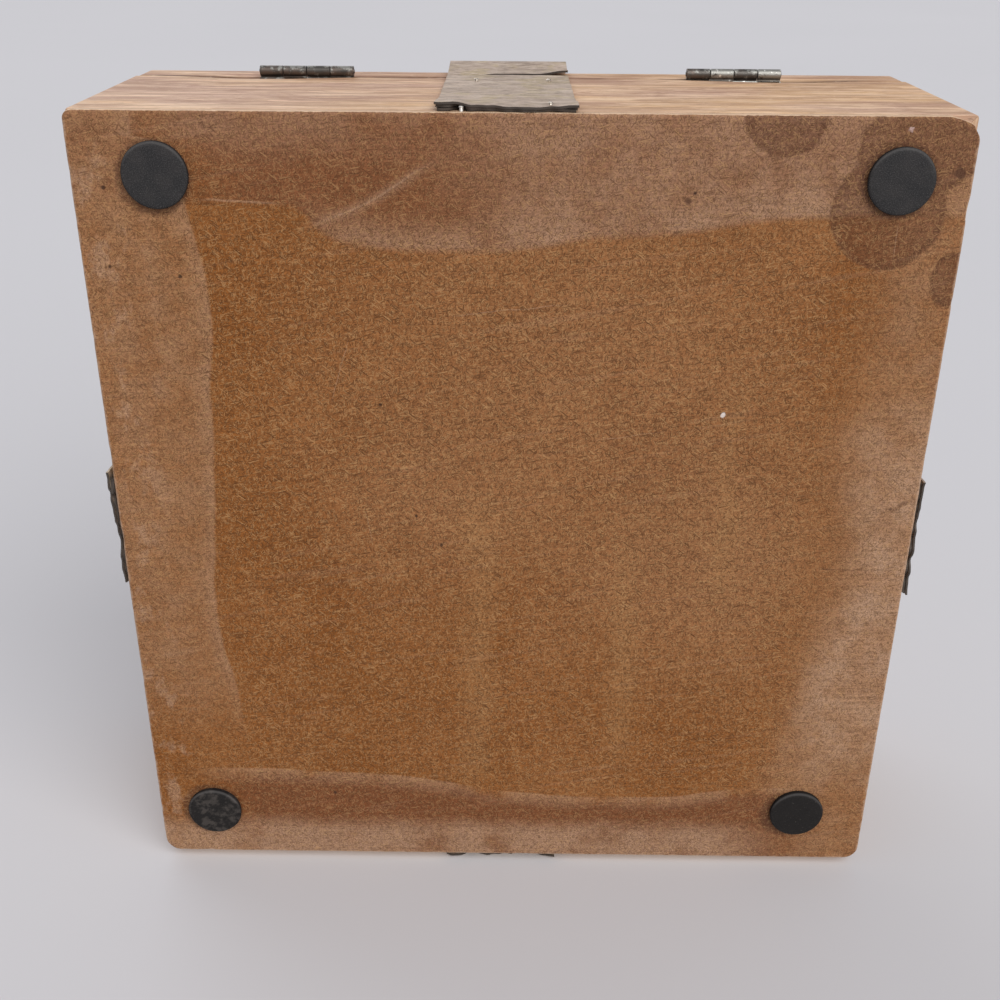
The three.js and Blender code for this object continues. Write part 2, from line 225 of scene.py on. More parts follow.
def piece(name, shape, body, stands_for, material, rim=None, sharp=35):
    """Makes one piece of the object from a shape in millimetres, in its place in the frame. Edges
    of more than `sharp` degrees stay sharp; `rim` says how much painted shade each vertex takes
    at a strap's edges, back and hem."""
    vertices, faces = shape
    mesh = bpy.data.meshes.new(name)
    mesh.from_pydata([tuple(c * MM for c in point) for point in vertices], [], faces)
    work = bmesh.new()
    work.from_mesh(mesh)
    bmesh.ops.recalc_face_normals(work, faces=work.faces)
    work.to_mesh(mesh)
    work.free()
    mesh.polygons.foreach_set("use_smooth", [True] * len(mesh.polygons))
    mesh.set_sharp_from_angle(angle=math.radians(sharp))
    if rim is not None:
        mesh.attributes.new("rim", "FLOAT", "POINT").data.foreach_set("value", rim)
    mesh.materials.append(MATERIALS[material])
    made = bpy.data.objects.new(name, mesh)
    bpy.context.scene.collection.objects.link(made)
    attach(made, body)
    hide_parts(*stands_for)


# ---- material graphs ------------------------------------------------------------------------


class Graph:
    """A material's nodes, made by short calls. Places and sizes in it are millimetres."""

    def __init__(self, name):
        self.material = bpy.data.materials.new(name)
        self.material.use_nodes = True
        self.tree = self.material.node_tree
        self.tree.nodes.clear()
        coordinates = self.node("ShaderNodeTexCoord")
        self.facing = coordinates.outputs["Normal"]
        self.at = self.scaled(coordinates.outputs["Object"], MM)

    def node(self, kind, inputs=(), **settings):
        made = self.tree.nodes.new(kind)
        for key, value in settings.items():
            setattr(made, key, value)
        for key, value in dict(inputs).items():
            self.feed(made.inputs[key], value)
        return made

    def feed(self, socket, value):
        if isinstance(value, bpy.types.NodeSocket):
            self.tree.links.new(value, socket)
        else:
            socket.default_value = value

    def math(self, operation, *values, clamp=False):
        made = self.node("ShaderNodeMath", operation=operation, use_clamp=clamp)
        for socket, value in zip(made.inputs, values):
            self.feed(socket, value)
        return made.outputs[0]

    def chain(self, operation, values):
        result = values[0]
        for value in values[1:]:
            result = self.math(operation, result, value)
        return result

    def total(self, *values):
        return self.chain("ADD", values)

    def times(self, *values):
        return self.chain("MULTIPLY", values)

    def largest(self, *values):
        return self.chain("MAXIMUM", values)

    def less(self, value, amount):
        return self.math("SUBTRACT", value, amount)

    def absolute(self, value):
        return self.math("ABSOLUTE", value)

    def line(self, value, slope, start):
        """`start` plus `slope` times the value."""
        return self.math("MULTIPLY_ADD", value, slope, start)

    def smooth(self, low, high, value):
        """0 below `low`, 1 above `high`, and smooth between; low may be above high."""
        made = self.node(
            "ShaderNodeMapRange",
            {"Value": value, "From Min": low, "From Max": high},
            interpolation_type="SMOOTHSTEP",
        )
        return made.outputs["Result"]

    def parts(self, vector):
        split = self.node("ShaderNodeSeparateXYZ", {0: vector})
        return split.outputs[0], split.outputs[1], split.outputs[2]

    def vector(self, x, y, z):
        return self.node("ShaderNodeCombineXYZ", {0: x, 1: y, 2: z}).outputs[0]

    def scaled(self, vector, size):
        """A place measured in lumps of `size`, one number or three."""
        sizes = size if isinstance(size, tuple) else (size, size, size)
        scale = {0: vector, 1: tuple(1 / side for side in sizes)}
        return self.node("ShaderNodeVectorMath", scale, operation="MULTIPLY").outputs[0]

    def noise(self, size, at=None, turn=0.0, detail=2.0, roughness=0.5, distortion=0.0):
        """Noise from 0 to 1 whose lumps are `size` millimetres."""
        turned_at = self.node(
            "ShaderNodeMapping",
            {"Vector": self.at if at is None else at, "Rotation": (0, 0, turn)},
        )
        made = self.node(
            "ShaderNodeTexNoise",
            {"Vector": self.scaled(turned_at.outputs[0], size), "Scale": 1.0, "Detail": detail,
             "Roughness": roughness, "Distortion": distortion},
        )
        return made.outputs["Fac"]

    def patches(self, low, high, size, **settings):
        """Patches of noise: 0 where it is below `low`, 1 where it is above `high`."""
        return self.smooth(low, high, self.noise(size, **settings))

    def drift(self, size, amount, **settings):
        """Noise round 0 that is `amount` from its least to its most."""
        return self.times(self.less(self.noise(size, **settings), 0.5), amount)

    def curve(self, value, points):
        """A smooth curve through given (value, height) points."""
        lows = [min(axis) for axis in zip(*points)]
        highs = [max(axis) for axis in zip(*points)]
        spans = [high - low for low, high in zip(lows, highs)]
        share = self.math("DIVIDE", self.less(value, lows[0]), spans[0], clamp=True)
        made = self.node("ShaderNodeFloatCurve", {"Value": share})
        bend = made.mapping.curves[0]
        shares = [tuple((v - low) / s for v, low, s in zip(p, lows, spans)) for p in sorted(points)]
        while len(bend.points) < len(shares):
            bend.points.new(0.5, 0.5)
        for point, place in zip(bend.points, shares):
            point.location = place
        made.mapping.update()
        return self.line(made.outputs[0], spans[1], lows[1])

    def mix(self, share, first, second, blend="MIX"):
        made = self.node("ShaderNodeMix", data_type="RGBA", blend_type=blend)
        for socket, value in ((0, share), (6, first), (7, second)):
            self.feed(made.inputs[socket], (*value, 1.0) if isinstance(value, tuple) else value)
        return made.outputs[2]

    def coats(self, colour, *coats):
        """Lays coats over a colour, one after another. A coat is its colour and then its share,
        as factors to be multiplied."""
        for coat, *share in coats:
            colour = self.mix(self.times(*share), colour, coat)
        return colour

    def shaded(self, colour, shade):
        return self.mix(1.0, colour, self.vector(shade, shade, shade), blend="MULTIPLY")

    def spot(self, x, y, radius, stretch=1.0, turn=0.0, ragged=0.0, ragged_size=4.0):
        """How far outside a round or oval spot on the XY plane a point is, in millimetres."""
        from_spot = self.node(
            "ShaderNodeMapping",
            {"Vector": self.at, "Location": (x, y, 0), "Rotation": (0, 0, turn),
             "Scale": (stretch, 1.0, 0.0)},
            vector_type="TEXTURE",
        )
        length = self.node("ShaderNodeVectorMath", {0: from_spot.outputs[0]}, operation="LENGTH")
        away = self.less(length.outputs["Value"], radius)
        if ragged:
            away = self.total(self.drift(ragged_size, 2 * ragged, detail=3.0), away)
        return away

    def spots(self, outside, inside, spots, **edge):
        """1 inside any of the (x, y, radius) spots, 0 outside them all."""
        return self.largest(*[self.smooth(outside, inside, self.spot(*spot, **edge)) for spot in spots])

    def scratch(self, start, end, width, sag=0.0):
        """1 on a fine line between two points of the XY plane, 0 away from it; it bows aside by
        `sag` at its middle, to the left of the way it runs."""
        (x0, y0), (x1, y1) = start, end
        half = math.dist(start, end) / 2
        from_middle = self.node(
            "ShaderNodeMapping",
            {"Vector": self.at, "Location": ((x0 + x1) / 2, (y0 + y1) / 2, 0),
             "Rotation": (0, 0, math.atan2(y1 - y0, x1 - x0))},
            vector_type="TEXTURE",
        )
        along, across, _ = self.parts(from_middle.outputs[0])
        bend = self.drift(9.0, 1.6)
        if sag:
            share = self.math("DIVIDE", along, half)
            bend = self.less(bend, self.times(self.less(1.0, self.times(share, share)), sag))
        near = self.smooth(width, 0.0, self.absolute(self.total(across, bend)))
        return self.times(near, self.smooth(half, 0.4 * half, self.absolute(along)))

    def scratches(self, *lines):
        return self.largest(*[self.scratch(*line) for line in lines])

    def surface(self, colour, roughness, height, depth, metallic=0.0, specular=0.5):
        """The finished material. A `height` of 0 to 1 stands for bumps `depth` millimetres deep."""
        bump = self.node("ShaderNodeBump", {"Height": height, "Distance": depth * MM, "Strength": 1.0})
        shader = self.node("ShaderNodeBsdfPrincipled", {
            "Base Color": colour, "Roughness": roughness, "Metallic": metallic,
            "Specular IOR Level": specular, "Normal": bump.outputs[0],
        })
        return self.finished(shader)

    def finished(self, shader):
        output = self.node("ShaderNodeOutputMaterial")
        self.tree.links.new(shader.outputs[0], output.inputs["Surface"])
        return self.material


# ---- hardboard ------------------------------------------------------------------------------

FIELD = (0.292, 0.112, 0.032)
DEEP = (0.238, 0.080, 0.015)
BROWN = (0.198, 0.072, 0.028)
RUSSET = (0.184, 0.061, 0.021)
WORN = (0.330, 0.160, 0.076)
DUSTY = (0.335, 0.178, 0.104)
CHALKY = (0.440, 0.262, 0.164)
STREAKED = (0.370, 0.182, 0.070)
STAINED = (0.128, 0.046, 0.020)
TIDE_LINE = (0.09, 0.036, 0.018)
# Dark brown of the glue blots, used also for the painted shadows round the pads.
GLUE_AND_PAD_SHADOW = (0.085, 0.034, 0.018)
SMEARED = (0.12, 0.05, 0.026)
LIGHT_FIBRE = (0.52, 0.29, 0.125)
DARK_FIBRE = (0.090, 0.031, 0.007)
PINHOLE = (0.028, 0.012, 0.008)
WHITE_CHIP = (0.80, 0.70, 0.64)
PINK_CHIP = (0.56, 0.38, 0.34)
RUBBED_RIM = (0.54, 0.36, 0.25)
SAWN_PALE = (0.78, 0.555, 0.37)
SAWN_DARK = (0.50, 0.325, 0.212)
SKIN_DEPTH = 0.62  # of the hard outer skin, above which the pale core shows at the edge

# Where the saturated middle of the board gives way to its rubbed border: (y, x) up the sides,
# (x, y) along the rear and the front.
BORDER_RIGHT = [
    (-112, 91), (-63, 94.2), (-25, 98.7), (-5, 97), (26, 94.4), (50, 93.1), (75, 90.7), (93, 92.5),
    (125, 108),
]
BORDER_LEFT = [
    (-125, -84), (-80, -92), (-45, -96.3), (-27, -100.7), (-8, -104.6), (37, -99.8), (50, -105),
    (125, -103),
]
BORDER_REAR = [
    (-120, 104), (-88, 103.5), (-43, 98.2), (-16, 96), (10, 92.6), (30, 92.7), (49, 94.4), (58, 98.6),
    (70, 105.5), (95, 105.6),
]
BORDER_FRONT = [
    (-126, -102), (-91, -99.6), (-45, -104.6), (1, -102.4), (24, -98.4), (42, -95.8), (85, -93.6),
]

# Broad soft patches of the middle: x, y, radius, how strongly.
# The deeper patch at (66, 78), towards +X along the rear, is partly painted shade.
DEEPER_PATCHES = [
    (50, -76, 34, 0.75), (-17, -70, 22, 0.6), (-64, -76, 26, 0.65), (84, 6, 26, 0.5), (66, 78, 34, 0.7),
]
PALER_PATCHES = [(-20, 55, 62, 0.40), (-70, -10, 40, 0.45), (30, 10, 30, 0.25)]
# Pale upright streaks: middle, half width, top and bottom.
PALE_STREAKS = [(12, 9, 12, -98), (-37, 8, -8, -84), (-66, 5, 50, -20)]

# Round marks: x, y, radius.
PINHOLES = [
    (117.8, 110.5, 0.45), (98.8, 85.0, 0.42), (119.0, 87.7, 0.4), (41.8, 45.5, 0.35),
    (31.7, 7.6, 0.35), (23.9, -2.8, 0.4), (63.5, -104.0, 0.4), (-49.3, 110.4, 0.3),
]
BLOTS = [(-47.6, 108.2, 0.9), (-122.6, 116.6, 1.5), (-118.6, 11.6, 0.5), (-120.8, 119.2, 0.3)]
# Painted shadows round the pads: for each, a dark round spot a little off the pad's middle.
PAD_SHADOWS = {  # how far its middle is from the pad's, and its radius
    "rear_right": (1.0, -1.0, 10.6), "rear_left": (0.3, 0.0, 10.7),
    "front_right": (1.3, 0.2, 10.6), "front_left": (3.4, -1.4, 9.5),
}

FINE_FIBRE_LAYERS = 6
LONG_FIBRE_LAYERS = 2


def hardboard_fibres(g):
    """Short pale and dark fibres lying every way: dashes from stretched cells, layer by layer."""
    bend = g.vector(g.noise(2.1, detail=1.0), g.noise(2.9, detail=1.0), 0.0)
    swirl = g.node(
        "ShaderNodeVectorMath", {0: bend, 1: (0.35, 0.35, 0.0), 2: g.at}, operation="MULTIPLY_ADD")
    lights, darks = [], []
    for layer in range(FINE_FIBRE_LAYERS + LONG_FIBRE_LAYERS):
        fine = layer < FINE_FIBRE_LAYERS
        size = (1.6 + 0.4 * (layer % 3), 0.34, 1.0) if fine else (5.0, 0.60, 1.0)
        share = 0.24 if fine else 0.13
        laid = g.node(
            "ShaderNodeMapping",
            {"Vector": swirl.outputs[0], "Location": (7.3 * layer, 0, 0),
             "Rotation": (0, 0, math.radians(52 * layer + 9))},
        )
        cells = g.node(
            "ShaderNodeTexVoronoi",
            {"Vector": g.scaled(laid.outputs[0], size), "Scale": 1.0, "Randomness": 1.0},
            voronoi_dimensions="2D",
        )
        tone = g.parts(cells.outputs["Color"])[0]
        dash = g.smooth(0.42, 0.22, cells.outputs["Distance"])
        lights.append(g.times(dash, g.smooth(share, 0.0, tone)))
        darks.append(g.times(dash, g.smooth(1.0 - share, 1.0, tone)))
    return g.largest(*lights), g.largest(*darks)


def hardboard_middle(g, x, y):
    """The saturated middle, with its soft patches and streaks; also the plain board below them."""
    colour = clean = g.mix(g.patches(0.36, 0.66, 46.0, detail=3.0, roughness=0.55), FIELD, DEEP)
    for patches, tone in ((DEEPER_PATCHES, DEEP), (PALER_PATCHES, WORN)):
        for px, py, radius, share in patches:
            colour = g.coats(colour, (tone, g.smooth(radius, -radius, g.spot(px, py, radius)), share))
    sway = g.drift(30.0, 14.0)
    for middle, half_width, top, bottom in PALE_STREAKS:
        across = g.smooth(half_width, 0.0, g.absolute(g.total(x, -middle, sway)))
        run = g.times(g.smooth(top + 12, top - 12, y), g.smooth(bottom - 10, bottom + 10, y))
        colour = g.coats(colour, (STREAKED, across, run, 0.38))
    return clean, colour


def hardboard_border(g, x, y, colour):
    """The rubbed border round the middle, each side in its own way."""
    drift = g.drift(14.0, 5.0, detail=3.0)
    patchy = g.line(g.patches(0.34, 0.68, 10.0, detail=4.0, roughness=0.62), 0.5, 0.5)
    right, left, rear, front = [g.line(drift, 0.3, inside) for inside in (
        g.less(x, g.curve(y, BORDER_RIGHT)),
        g.less(g.curve(y, BORDER_LEFT), x),
        g.less(y, g.curve(x, BORDER_REAR)),
        g.less(g.curve(x, BORDER_FRONT), y),
    )]

    # Rear band: rubbed pale towards -X, browner towards +X, with a pale wiped lip along it.
    band = g.smooth(-0.8, 2.6, rear)
    pale_side = g.smooth(30.0, -12.0, g.line(g.noise(30.0), 30.0, g.less(x, 15.0)))
    shelf = g.times(g.smooth(114.0, 130.0, g.line(drift, 1.5, y)), g.patches(0.30, 0.56, 26.0))
    lip = g.times(band, g.smooth(14.0, 1.0, rear), g.smooth(66.0, 45.0, x))
    colour = g.coats(
        colour,
        (BROWN, band, 0.85),
        (DUSTY, band, pale_side, patchy),
        (DUSTY, shelf, 0.62),
        (CHALKY, lip, 0.50, g.patches(0.32, 0.58, 22.0)),
    )

    # Right border, sharp along its inner line; left border, a broad haze growing downwards.
    fading = g.smooth(-86.0, -48.0, y)
    edging = g.times(g.smooth(-0.5, 0.6, right), g.smooth(6.0, 0.6, right), fading)
    mottle = g.patches(0.50, 0.64, (9.0, 15.0, 9.0), detail=4.0, roughness=0.65)
    haze = g.times(g.smooth(-2.0, 14.0, left), g.smooth(66.0, 10.0, y), g.smooth(-108.0, -70.0, y))
    colour = g.coats(
        colour,
        (DEEP, g.smooth(3.0, -4.0, right), g.smooth(-22.0, -1.0, right), fading, 0.50),
        (WORN, g.smooth(-0.5, 0.9, right), fading, patchy),
        (CHALKY, edging, 0.22),
        (CHALKY, g.smooth(8.0, 26.0, right), mottle, 0.55),
        (WORN, g.smooth(-9.0, 8.0, left), patchy),
        (CHALKY, haze, 0.92, patchy),
    )

    # Front band: a faint pale line, then brown, then chalk rubbed along the edge.
    sides = g.smooth(118.0, 88.0, g.absolute(x))
    line = g.times(g.smooth(-0.4, 0.5, front), g.smooth(8.0, 0.5, front), sides)
    strip = g.times(g.smooth(-113.0, -122.0, g.line(drift, 1.3, y)), g.smooth(-104.0, -70.0, x))
    return g.coats(
        colour,
        (RUSSET, g.smooth(0.0, 5.0, front), sides, 0.92),
        (CHALKY, line, 0.42, g.patches(0.30, 0.55, 19.0)),
        (CHALKY, strip, 0.72, g.patches(0.20, 0.56, 21.0, detail=4.0, roughness=0.62)),
    )


def hardboard_stains_and_pad_shadows(g, colour):
    """Water stains near the rear edge, and painted shadows round the pads."""
    rippled = {"ragged": 1.3, "ragged_size": 7.0}
    pools = [
        g.spot(-73.0, 131.5, 10.8, stretch=1.05, turn=0.25, **rippled),
        g.spot(-104.2, 105.3, 16.2, **rippled),
        g.spot(-112.5, 124.5, 14.5, stretch=1.3, turn=-0.3, **rippled),
        g.spot(-125.5, 86.0, 8.0, stretch=0.75, ragged=1.5, ragged_size=5.0),
    ]
    inside = g.largest(*[g.smooth(0.5, -0.5, pool) for pool in pools])
    tide = g.largest(*[g.times(g.smooth(-2.6, -0.3, pool), g.smooth(0.8, -0.1, pool)) for pool in pools])
    pad_shadows = []
    for corner, (dx, dy, radius) in PAD_SHADOWS.items():
        low, high = box_mm(f"{corner}_pad")
        pad_shadows.append(((low.x + high.x) / 2 + dx, (low.y + high.y) / 2 + dy, radius))
    return g.coats(
        colour,
        (STAINED, inside, 0.62),
        (TIDE_LINE, tide, 0.34),
        # Painted shadow round each pad.
        (GLUE_AND_PAD_SHADOW, g.spots(1.0, -0.8, pad_shadows, ragged=0.5, ragged_size=3.0), 0.62),
    )


def hardboard_scratches(g, colour):
    """Long faint wipe marks, scratches and smears."""
    wipes = g.patches(0.57, 0.72, (46.0, 2.2, 9.0), turn=math.radians(11))
    scratches = g.scratches(
        ((23.0, 73.6), (-18.0, 78.2), 0.30),
        ((49.9, 69.3), (57.2, 43.7), 0.22),
        ((48.0, 9.5), (45.6, -3.6), 0.22),
        ((-22.0, 34.0), (-48.0, 38.0), 0.22),
        ((93.0, 107.4), (66.0, 106.4), 0.6),
        ((62.0, 99.6), (23.0, 120.0), 0.5, 2.0),
        ((-107.6, 103.0), (-107.9, 91.0), 0.25),
    )
    smears = g.scratches(((-116.5, 9.8), (-126.5, 16.5), 1.1), ((-96.0, -10.0), (-115.5, -10.6), 0.45))
    return g.coats(
        colour,
        (CHALKY, wipes, 0.12),
        (CHALKY, scratches, 0.50),
        (CHALKY, g.scratch((66.0, 98.4), (20.0, 121.5), 2.6, sag=2.4), 0.34),
        (SMEARED, smears, 0.55),
    )


def hardboard_edge(g, z, colour):
    """The pale sawn edge, ragged where the hard skin has flaked back from it."""
    skin = BASE_LOW.z + SKIN_DEPTH
    sawn = g.smooth(skin - 0.12, skin + 0.12, g.total(z, g.drift(1.6, 1.2, detail=3.0)))
    inner_skin = g.smooth(BASE_HIGH.z - 0.3, BASE_HIGH.z - 0.1, z)
    edge = g.coats(
        SAWN_PALE,
        (SAWN_DARK, g.smooth(BASE_LOW.z + 1.3, BASE_LOW.z + 2.5, z), 0.75),
        (SAWN_DARK, g.patches(0.40, 0.70, (9.0, 9.0, 0.5), detail=3.0), 0.6),
    )
    return g.coats(colour, (edge, sawn, g.less(1.0, inner_skin)))


def hardboard():
    g = Graph("hardboard")
    x, y, z = g.parts(g.at)
    clean, colour = hardboard_middle(g, x, y)
    colour = hardboard_border(g, x, y, colour)
    colour = hardboard_stains_and_pad_shadows(g, colour)
    colour = hardboard_scratches(g, colour)
    underneath = g.smooth(BASE_HIGH.z - 0.4, BASE_HIGH.z - 0.6, z)
    colour = g.mix(underneath, clean, colour)

    # Close grain of the pressed fibre, faint lines from the press, then the single fibres, which
    # are less clear in the rubbed border, then the chips and holes.
    gap = g.math("MINIMUM", g.less(HALF_WIDTH, g.absolute(x)), g.less(HALF_DEPTH, g.absolute(y)))
    clear = g.line(g.smooth(24.0, 42.0, gap), 0.30, 0.70)
    grain = g.noise(0.46, detail=3.0, roughness=0.8)
    shade = g.total(
        g.times(g.less(grain, 0.5), 2.3), g.drift(2.2, 0.40, detail=3.0, roughness=0.6),
        g.drift((26.0, 0.55, 1.0), 0.65), 1.0)
    lights, darks = hardboard_fibres(g)
    holes = g.spots(0.4, -0.2, PINHOLES, ragged=0.25, ragged_size=1.0)
    blots = g.spots(0.5, -0.3, BLOTS, ragged=1.2, ragged_size=1.6)
    white_chip = g.spots(
        0.3, -0.2, [(-63.0, 43.3, 0.9)], stretch=0.7, turn=0.5, ragged=0.3, ragged_size=0.8)
    pink_chip = g.spots(0.3, -0.2, [(-107.5, 128.4, 0.55)], ragged=1.0, ragged_size=1.0)
    colour = g.coats(
        g.shaded(colour, shade),
        (LIGHT_FIBRE, lights, clear, 0.62),
        (DARK_FIBRE, darks, clear, 0.72),
        (GLUE_AND_PAD_SHADOW, blots, underneath, 0.75),
        (PINHOLE, holes, underneath, 0.80),
        (WHITE_CHIP, white_chip, underneath, 0.95),
        (PINK_CHIP, pink_chip, underneath, 0.90),
    )

    # The rim, rubbed paler except along the rear.
    rim = g.smooth(1.0, 0.25, g.total(gap, g.drift(2.4, 1.6, detail=3.0)))
    not_rear = g.line(g.smooth(HALF_DEPTH - 1.2, HALF_DEPTH - 5.0, y), 0.95, 0.05)
    colour = g.coats(colour, (RUBBED_RIM, rim, not_rear, 0.60))
    colour = hardboard_edge(g, z, colour)

    roughness = g.line(g.noise(3.0), 0.16, 0.58)
    height = g.total(
        g.times(lights, 0.5), g.times(darks, -0.6), g.times(holes, -3.0), g.times(blots, -0.8),
        g.times(white_chip, -1.5), g.times(grain, 0.9))
    return g.surface(colour, roughness, height, 0.10, specular=0.22)


# ---- softwood -------------------------------------------------------------------------------

PALE_WOOD = (0.655, 0.418, 0.270)
PINK_WOOD = (0.530, 0.325, 0.235)
GOLD_WOOD = (0.730, 0.465, 0.250)
LATE_WOOD = (0.325, 0.168, 0.092)
CREAM_WOOD = (0.830, 0.590, 0.400)
FLECK = (0.18, 0.092, 0.052)
SCUFF = (0.86, 0.66, 0.48)
GRIME = (0.30, 0.140, 0.080)
# Dirt in the seam between body and lid, together with painted shade of the gap there.
SEAM_DIRT_AND_SHADE = (0.085, 0.042, 0.026)
RING_PITCH = 5.4


def softwood(name, grain, pith, tint=1.0):
    """Bare pine with its grain along X or Y. `pith` is where the tree's middle would be, as
    (height, depth) from the board in its own frame."""
    g = Graph(name)
    x, y, z = g.parts(g.at)
    along, across, depth = {"X": (x, z, y), "Y": (y, z, x), "panel": (x, y, z)}[grain]
    depth = g.absolute(depth)
    at = g.vector(along, across, depth)

    # Every figure follows the same waves in the grain, so no streak runs dead straight.
    waves = g.drift((80.0, 36.0, 36.0), 17.0, at=at)
    ripples = g.drift((26.0, 9.0, 9.0), 3.0, at=at)
    across_grain = g.total(across, waves, ripples)
    into_grain = g.total(depth, waves, ripples)
    lie = g.vector(along, across_grain, into_grain)

    up = g.less(across_grain, pith[0])
    out = g.less(into_grain, pith[1])
    radius = g.math("SQRT", g.total(g.times(up, up), g.times(out, out)))
    ring = g.math("FRACT", g.math("DIVIDE", radius, RING_PITCH))
    late = g.times(g.math("POWER", ring, 2.0), g.smooth(1.0, 0.90, ring))

    fibre = g.noise((15.0, 0.85, 0.85), at=lie, detail=4.0, roughness=0.60)
    streak = g.noise((36.0, 3.1, 3.1), at=lie, detail=4.0, roughness=0.55)
    broad = g.noise((75.0, 8.5, 8.5), at=lie, detail=3.0, roughness=0.55)
    # Towards +X and +Y the boards are pinker, towards -X and -Y yellower.
    lean = g.line(g.smooth(-70.0, 100.0, along), 0.14, -0.07)
    hue = g.total(g.noise((60.0, 20.0, 20.0), at=lie, detail=3.0), lean)
    flecks = g.patches(0.62, 0.68, (5.0, 0.6, 0.6), at=lie, detail=3.0)
    colour = g.coats(
        GOLD_WOOD,
        (PALE_WOOD, g.smooth(0.38, 0.52, hue)),
        (PINK_WOOD, g.smooth(0.50, 0.62, hue)),
        (LATE_WOOD, g.smooth(0.50, 0.66, broad), 0.50),
        (CREAM_WOOD, g.smooth(0.49, 0.34, broad), 0.62),
        (LATE_WOOD, late, 0.62),
        (LATE_WOOD, g.smooth(0.50, 0.66, streak), 0.56),
        (CREAM_WOOD, g.smooth(0.49, 0.34, streak), 0.62),
        (LATE_WOOD, g.smooth(0.50, 0.68, fibre), 0.46),
        (CREAM_WOOD, g.smooth(0.49, 0.33, fibre), 0.44),
        (LATE_WOOD, g.patches(0.48, 0.70, (7.0, 0.42, 0.42), at=lie), 0.34),
        (FLECK, flecks, 0.40),
    )
    if grain != "panel":
        colour = handled(g, z, at, streak, depth, HALF_DEPTH if grain == "X" else HALF_WIDTH, colour)
    scuffs = g.patches(0.57, 0.68, (4.2, 2.8, 2.8), at=at, detail=5.0, roughness=0.7)
    colour = g.coats(colour, (SCUFF, scuffs, 0.24))
    colour = g.shaded(colour, tint)

    roughness = g.line(fibre, 0.20, 0.52)
    height = g.total(g.times(fibre, -0.8), g.times(late, 0.35), g.times(flecks, -0.7))
    return g.surface(colour, roughness, height, 0.14, specular=0.35)


def handled(g, z, at, streak, depth, reach, colour):
    """Handling has greyed and reddened the outside by the seam between body and lid, right at the
    seam the wood is darkened by dirt and by painted shade of the gap, and the sawn bottom edge is
    cleaner and creamier. The outside lies `reach` from the box's middle."""
    outside = g.smooth(reach - 5.0, reach - 1.0, depth)
    away = g.absolute(g.less(z, (WALL_HIGH.z + RAIL_LOW.z) / 2))
    cloudy = g.patches(0.42, 0.60, (40.0, 6.0, 6.0), at=at, detail=4.0)
    grime = g.times(g.smooth(20.0, 2.0, away), cloudy)
    # Right at the seam: dirt and painted shade of the gap.
    lip = g.times(g.smooth(2.2, 0.9, away), g.patches(0.30, 0.55, 16.0))
    bottom = g.smooth(WALL_LOW.z + 16, WALL_LOW.z + 3, g.line(streak, 9.0, z))
    return g.coats(
        colour,
        (GRIME, outside, grime, 0.62),
        (SEAM_DIRT_AND_SHADE, outside, lip, 0.70),
        (CREAM_WOOD, bottom, 0.20),
    )


# ---- metals and rubber ----------------------------------------------------------------------

STRAP_TAN = (0.520, 0.400, 0.315)
STRAP_DULL = (0.410, 0.312, 0.243)
STRAP_GREENISH = (0.480, 0.375, 0.200)
DARK_BAND = (0.235, 0.172, 0.130)
PALE_BAND = (0.680, 0.560, 0.460)
DARK_RUB = (0.190, 0.140, 0.106)
PALE_RUB = (0.720, 0.610, 0.520)
# Painted shade for the straps' cut edges, back faces and hems, in and by the gap to the wood.
EDGE_SHADE = (0.080, 0.064, 0.054)
DARK_BRONZE = (0.098, 0.090, 0.082)
BROWN_BRONZE = (0.142, 0.114, 0.098)
WORN_BRONZE = (0.330, 0.325, 0.300)
# Painted glint on the most rubbed bronze.
PAINTED_GLINT = (0.80, 0.79, 0.75)
RUBBER_BLACK = (0.025, 0.024, 0.025)
RUBBER_CLOUD = (0.036, 0.033, 0.033)
RUBBER_GRAIN = (0.090, 0.086, 0.086)
RUBBER_DARK = (0.008, 0.006, 0.005)
RUBBER_DIRT = (0.085, 0.072, 0.064)
# Painted highlight for the rims of the pads.
RUBBER_PAINTED_HIGHLIGHT = (0.17, 0.16, 0.155)
RUBBER_DUST = (0.19, 0.165, 0.145)
RUBBER_SIDE = (0.008, 0.008, 0.009)


def strap_metal(name, width_axis):
    """Dull tarnished sheet with ripples across it, and painted shade, as the `rim` attribute
    gives it, on its cut edges, its back face and its hem.
    """
    g = Graph(name)
    x, y, z = g.parts(g.at)
    at = g.vector(x, y, z) if width_axis == "X" else g.vector(y, x, z)
    brushed = g.noise((3.4, 1.5, 1.5), at=at, detail=4.0, roughness=0.70)
    bands = g.noise((17.0, 4.6, 4.6), at=at, detail=4.0, roughness=0.62)
    bloom = g.noise(13.0, detail=4.0, roughness=0.6)
    rim = g.node("ShaderNodeAttribute", attribute_name="rim").outputs["Fac"]
    colour = g.coats(
        STRAP_TAN,
        (STRAP_DULL, g.smooth(0.35, 0.65, bloom)),
        (STRAP_GREENISH, g.patches(0.48, 0.62, 9.0, at=at, detail=3.0, distortion=0.6), 0.50),
        (DARK_BAND, g.smooth(0.51, 0.66, bands), 0.50),
        (PALE_BAND, g.smooth(0.47, 0.34, bands), 0.50),
        (DARK_RUB, g.smooth(0.51, 0.64, brushed), 0.55),
        (PALE_RUB, g.smooth(0.47, 0.34, brushed), 0.48),
        # Painted shade on the cut edges, back face and hems, as much as the `rim` attribute says.
        (EDGE_SHADE, g.smooth(0.15, 0.85, rim)),
    )
    height = g.total(g.times(brushed, 0.5), bands)
    return g.surface(colour, g.line(bloom, 0.22, 0.42), height, 0.20, metallic=0.35, specular=0.3)


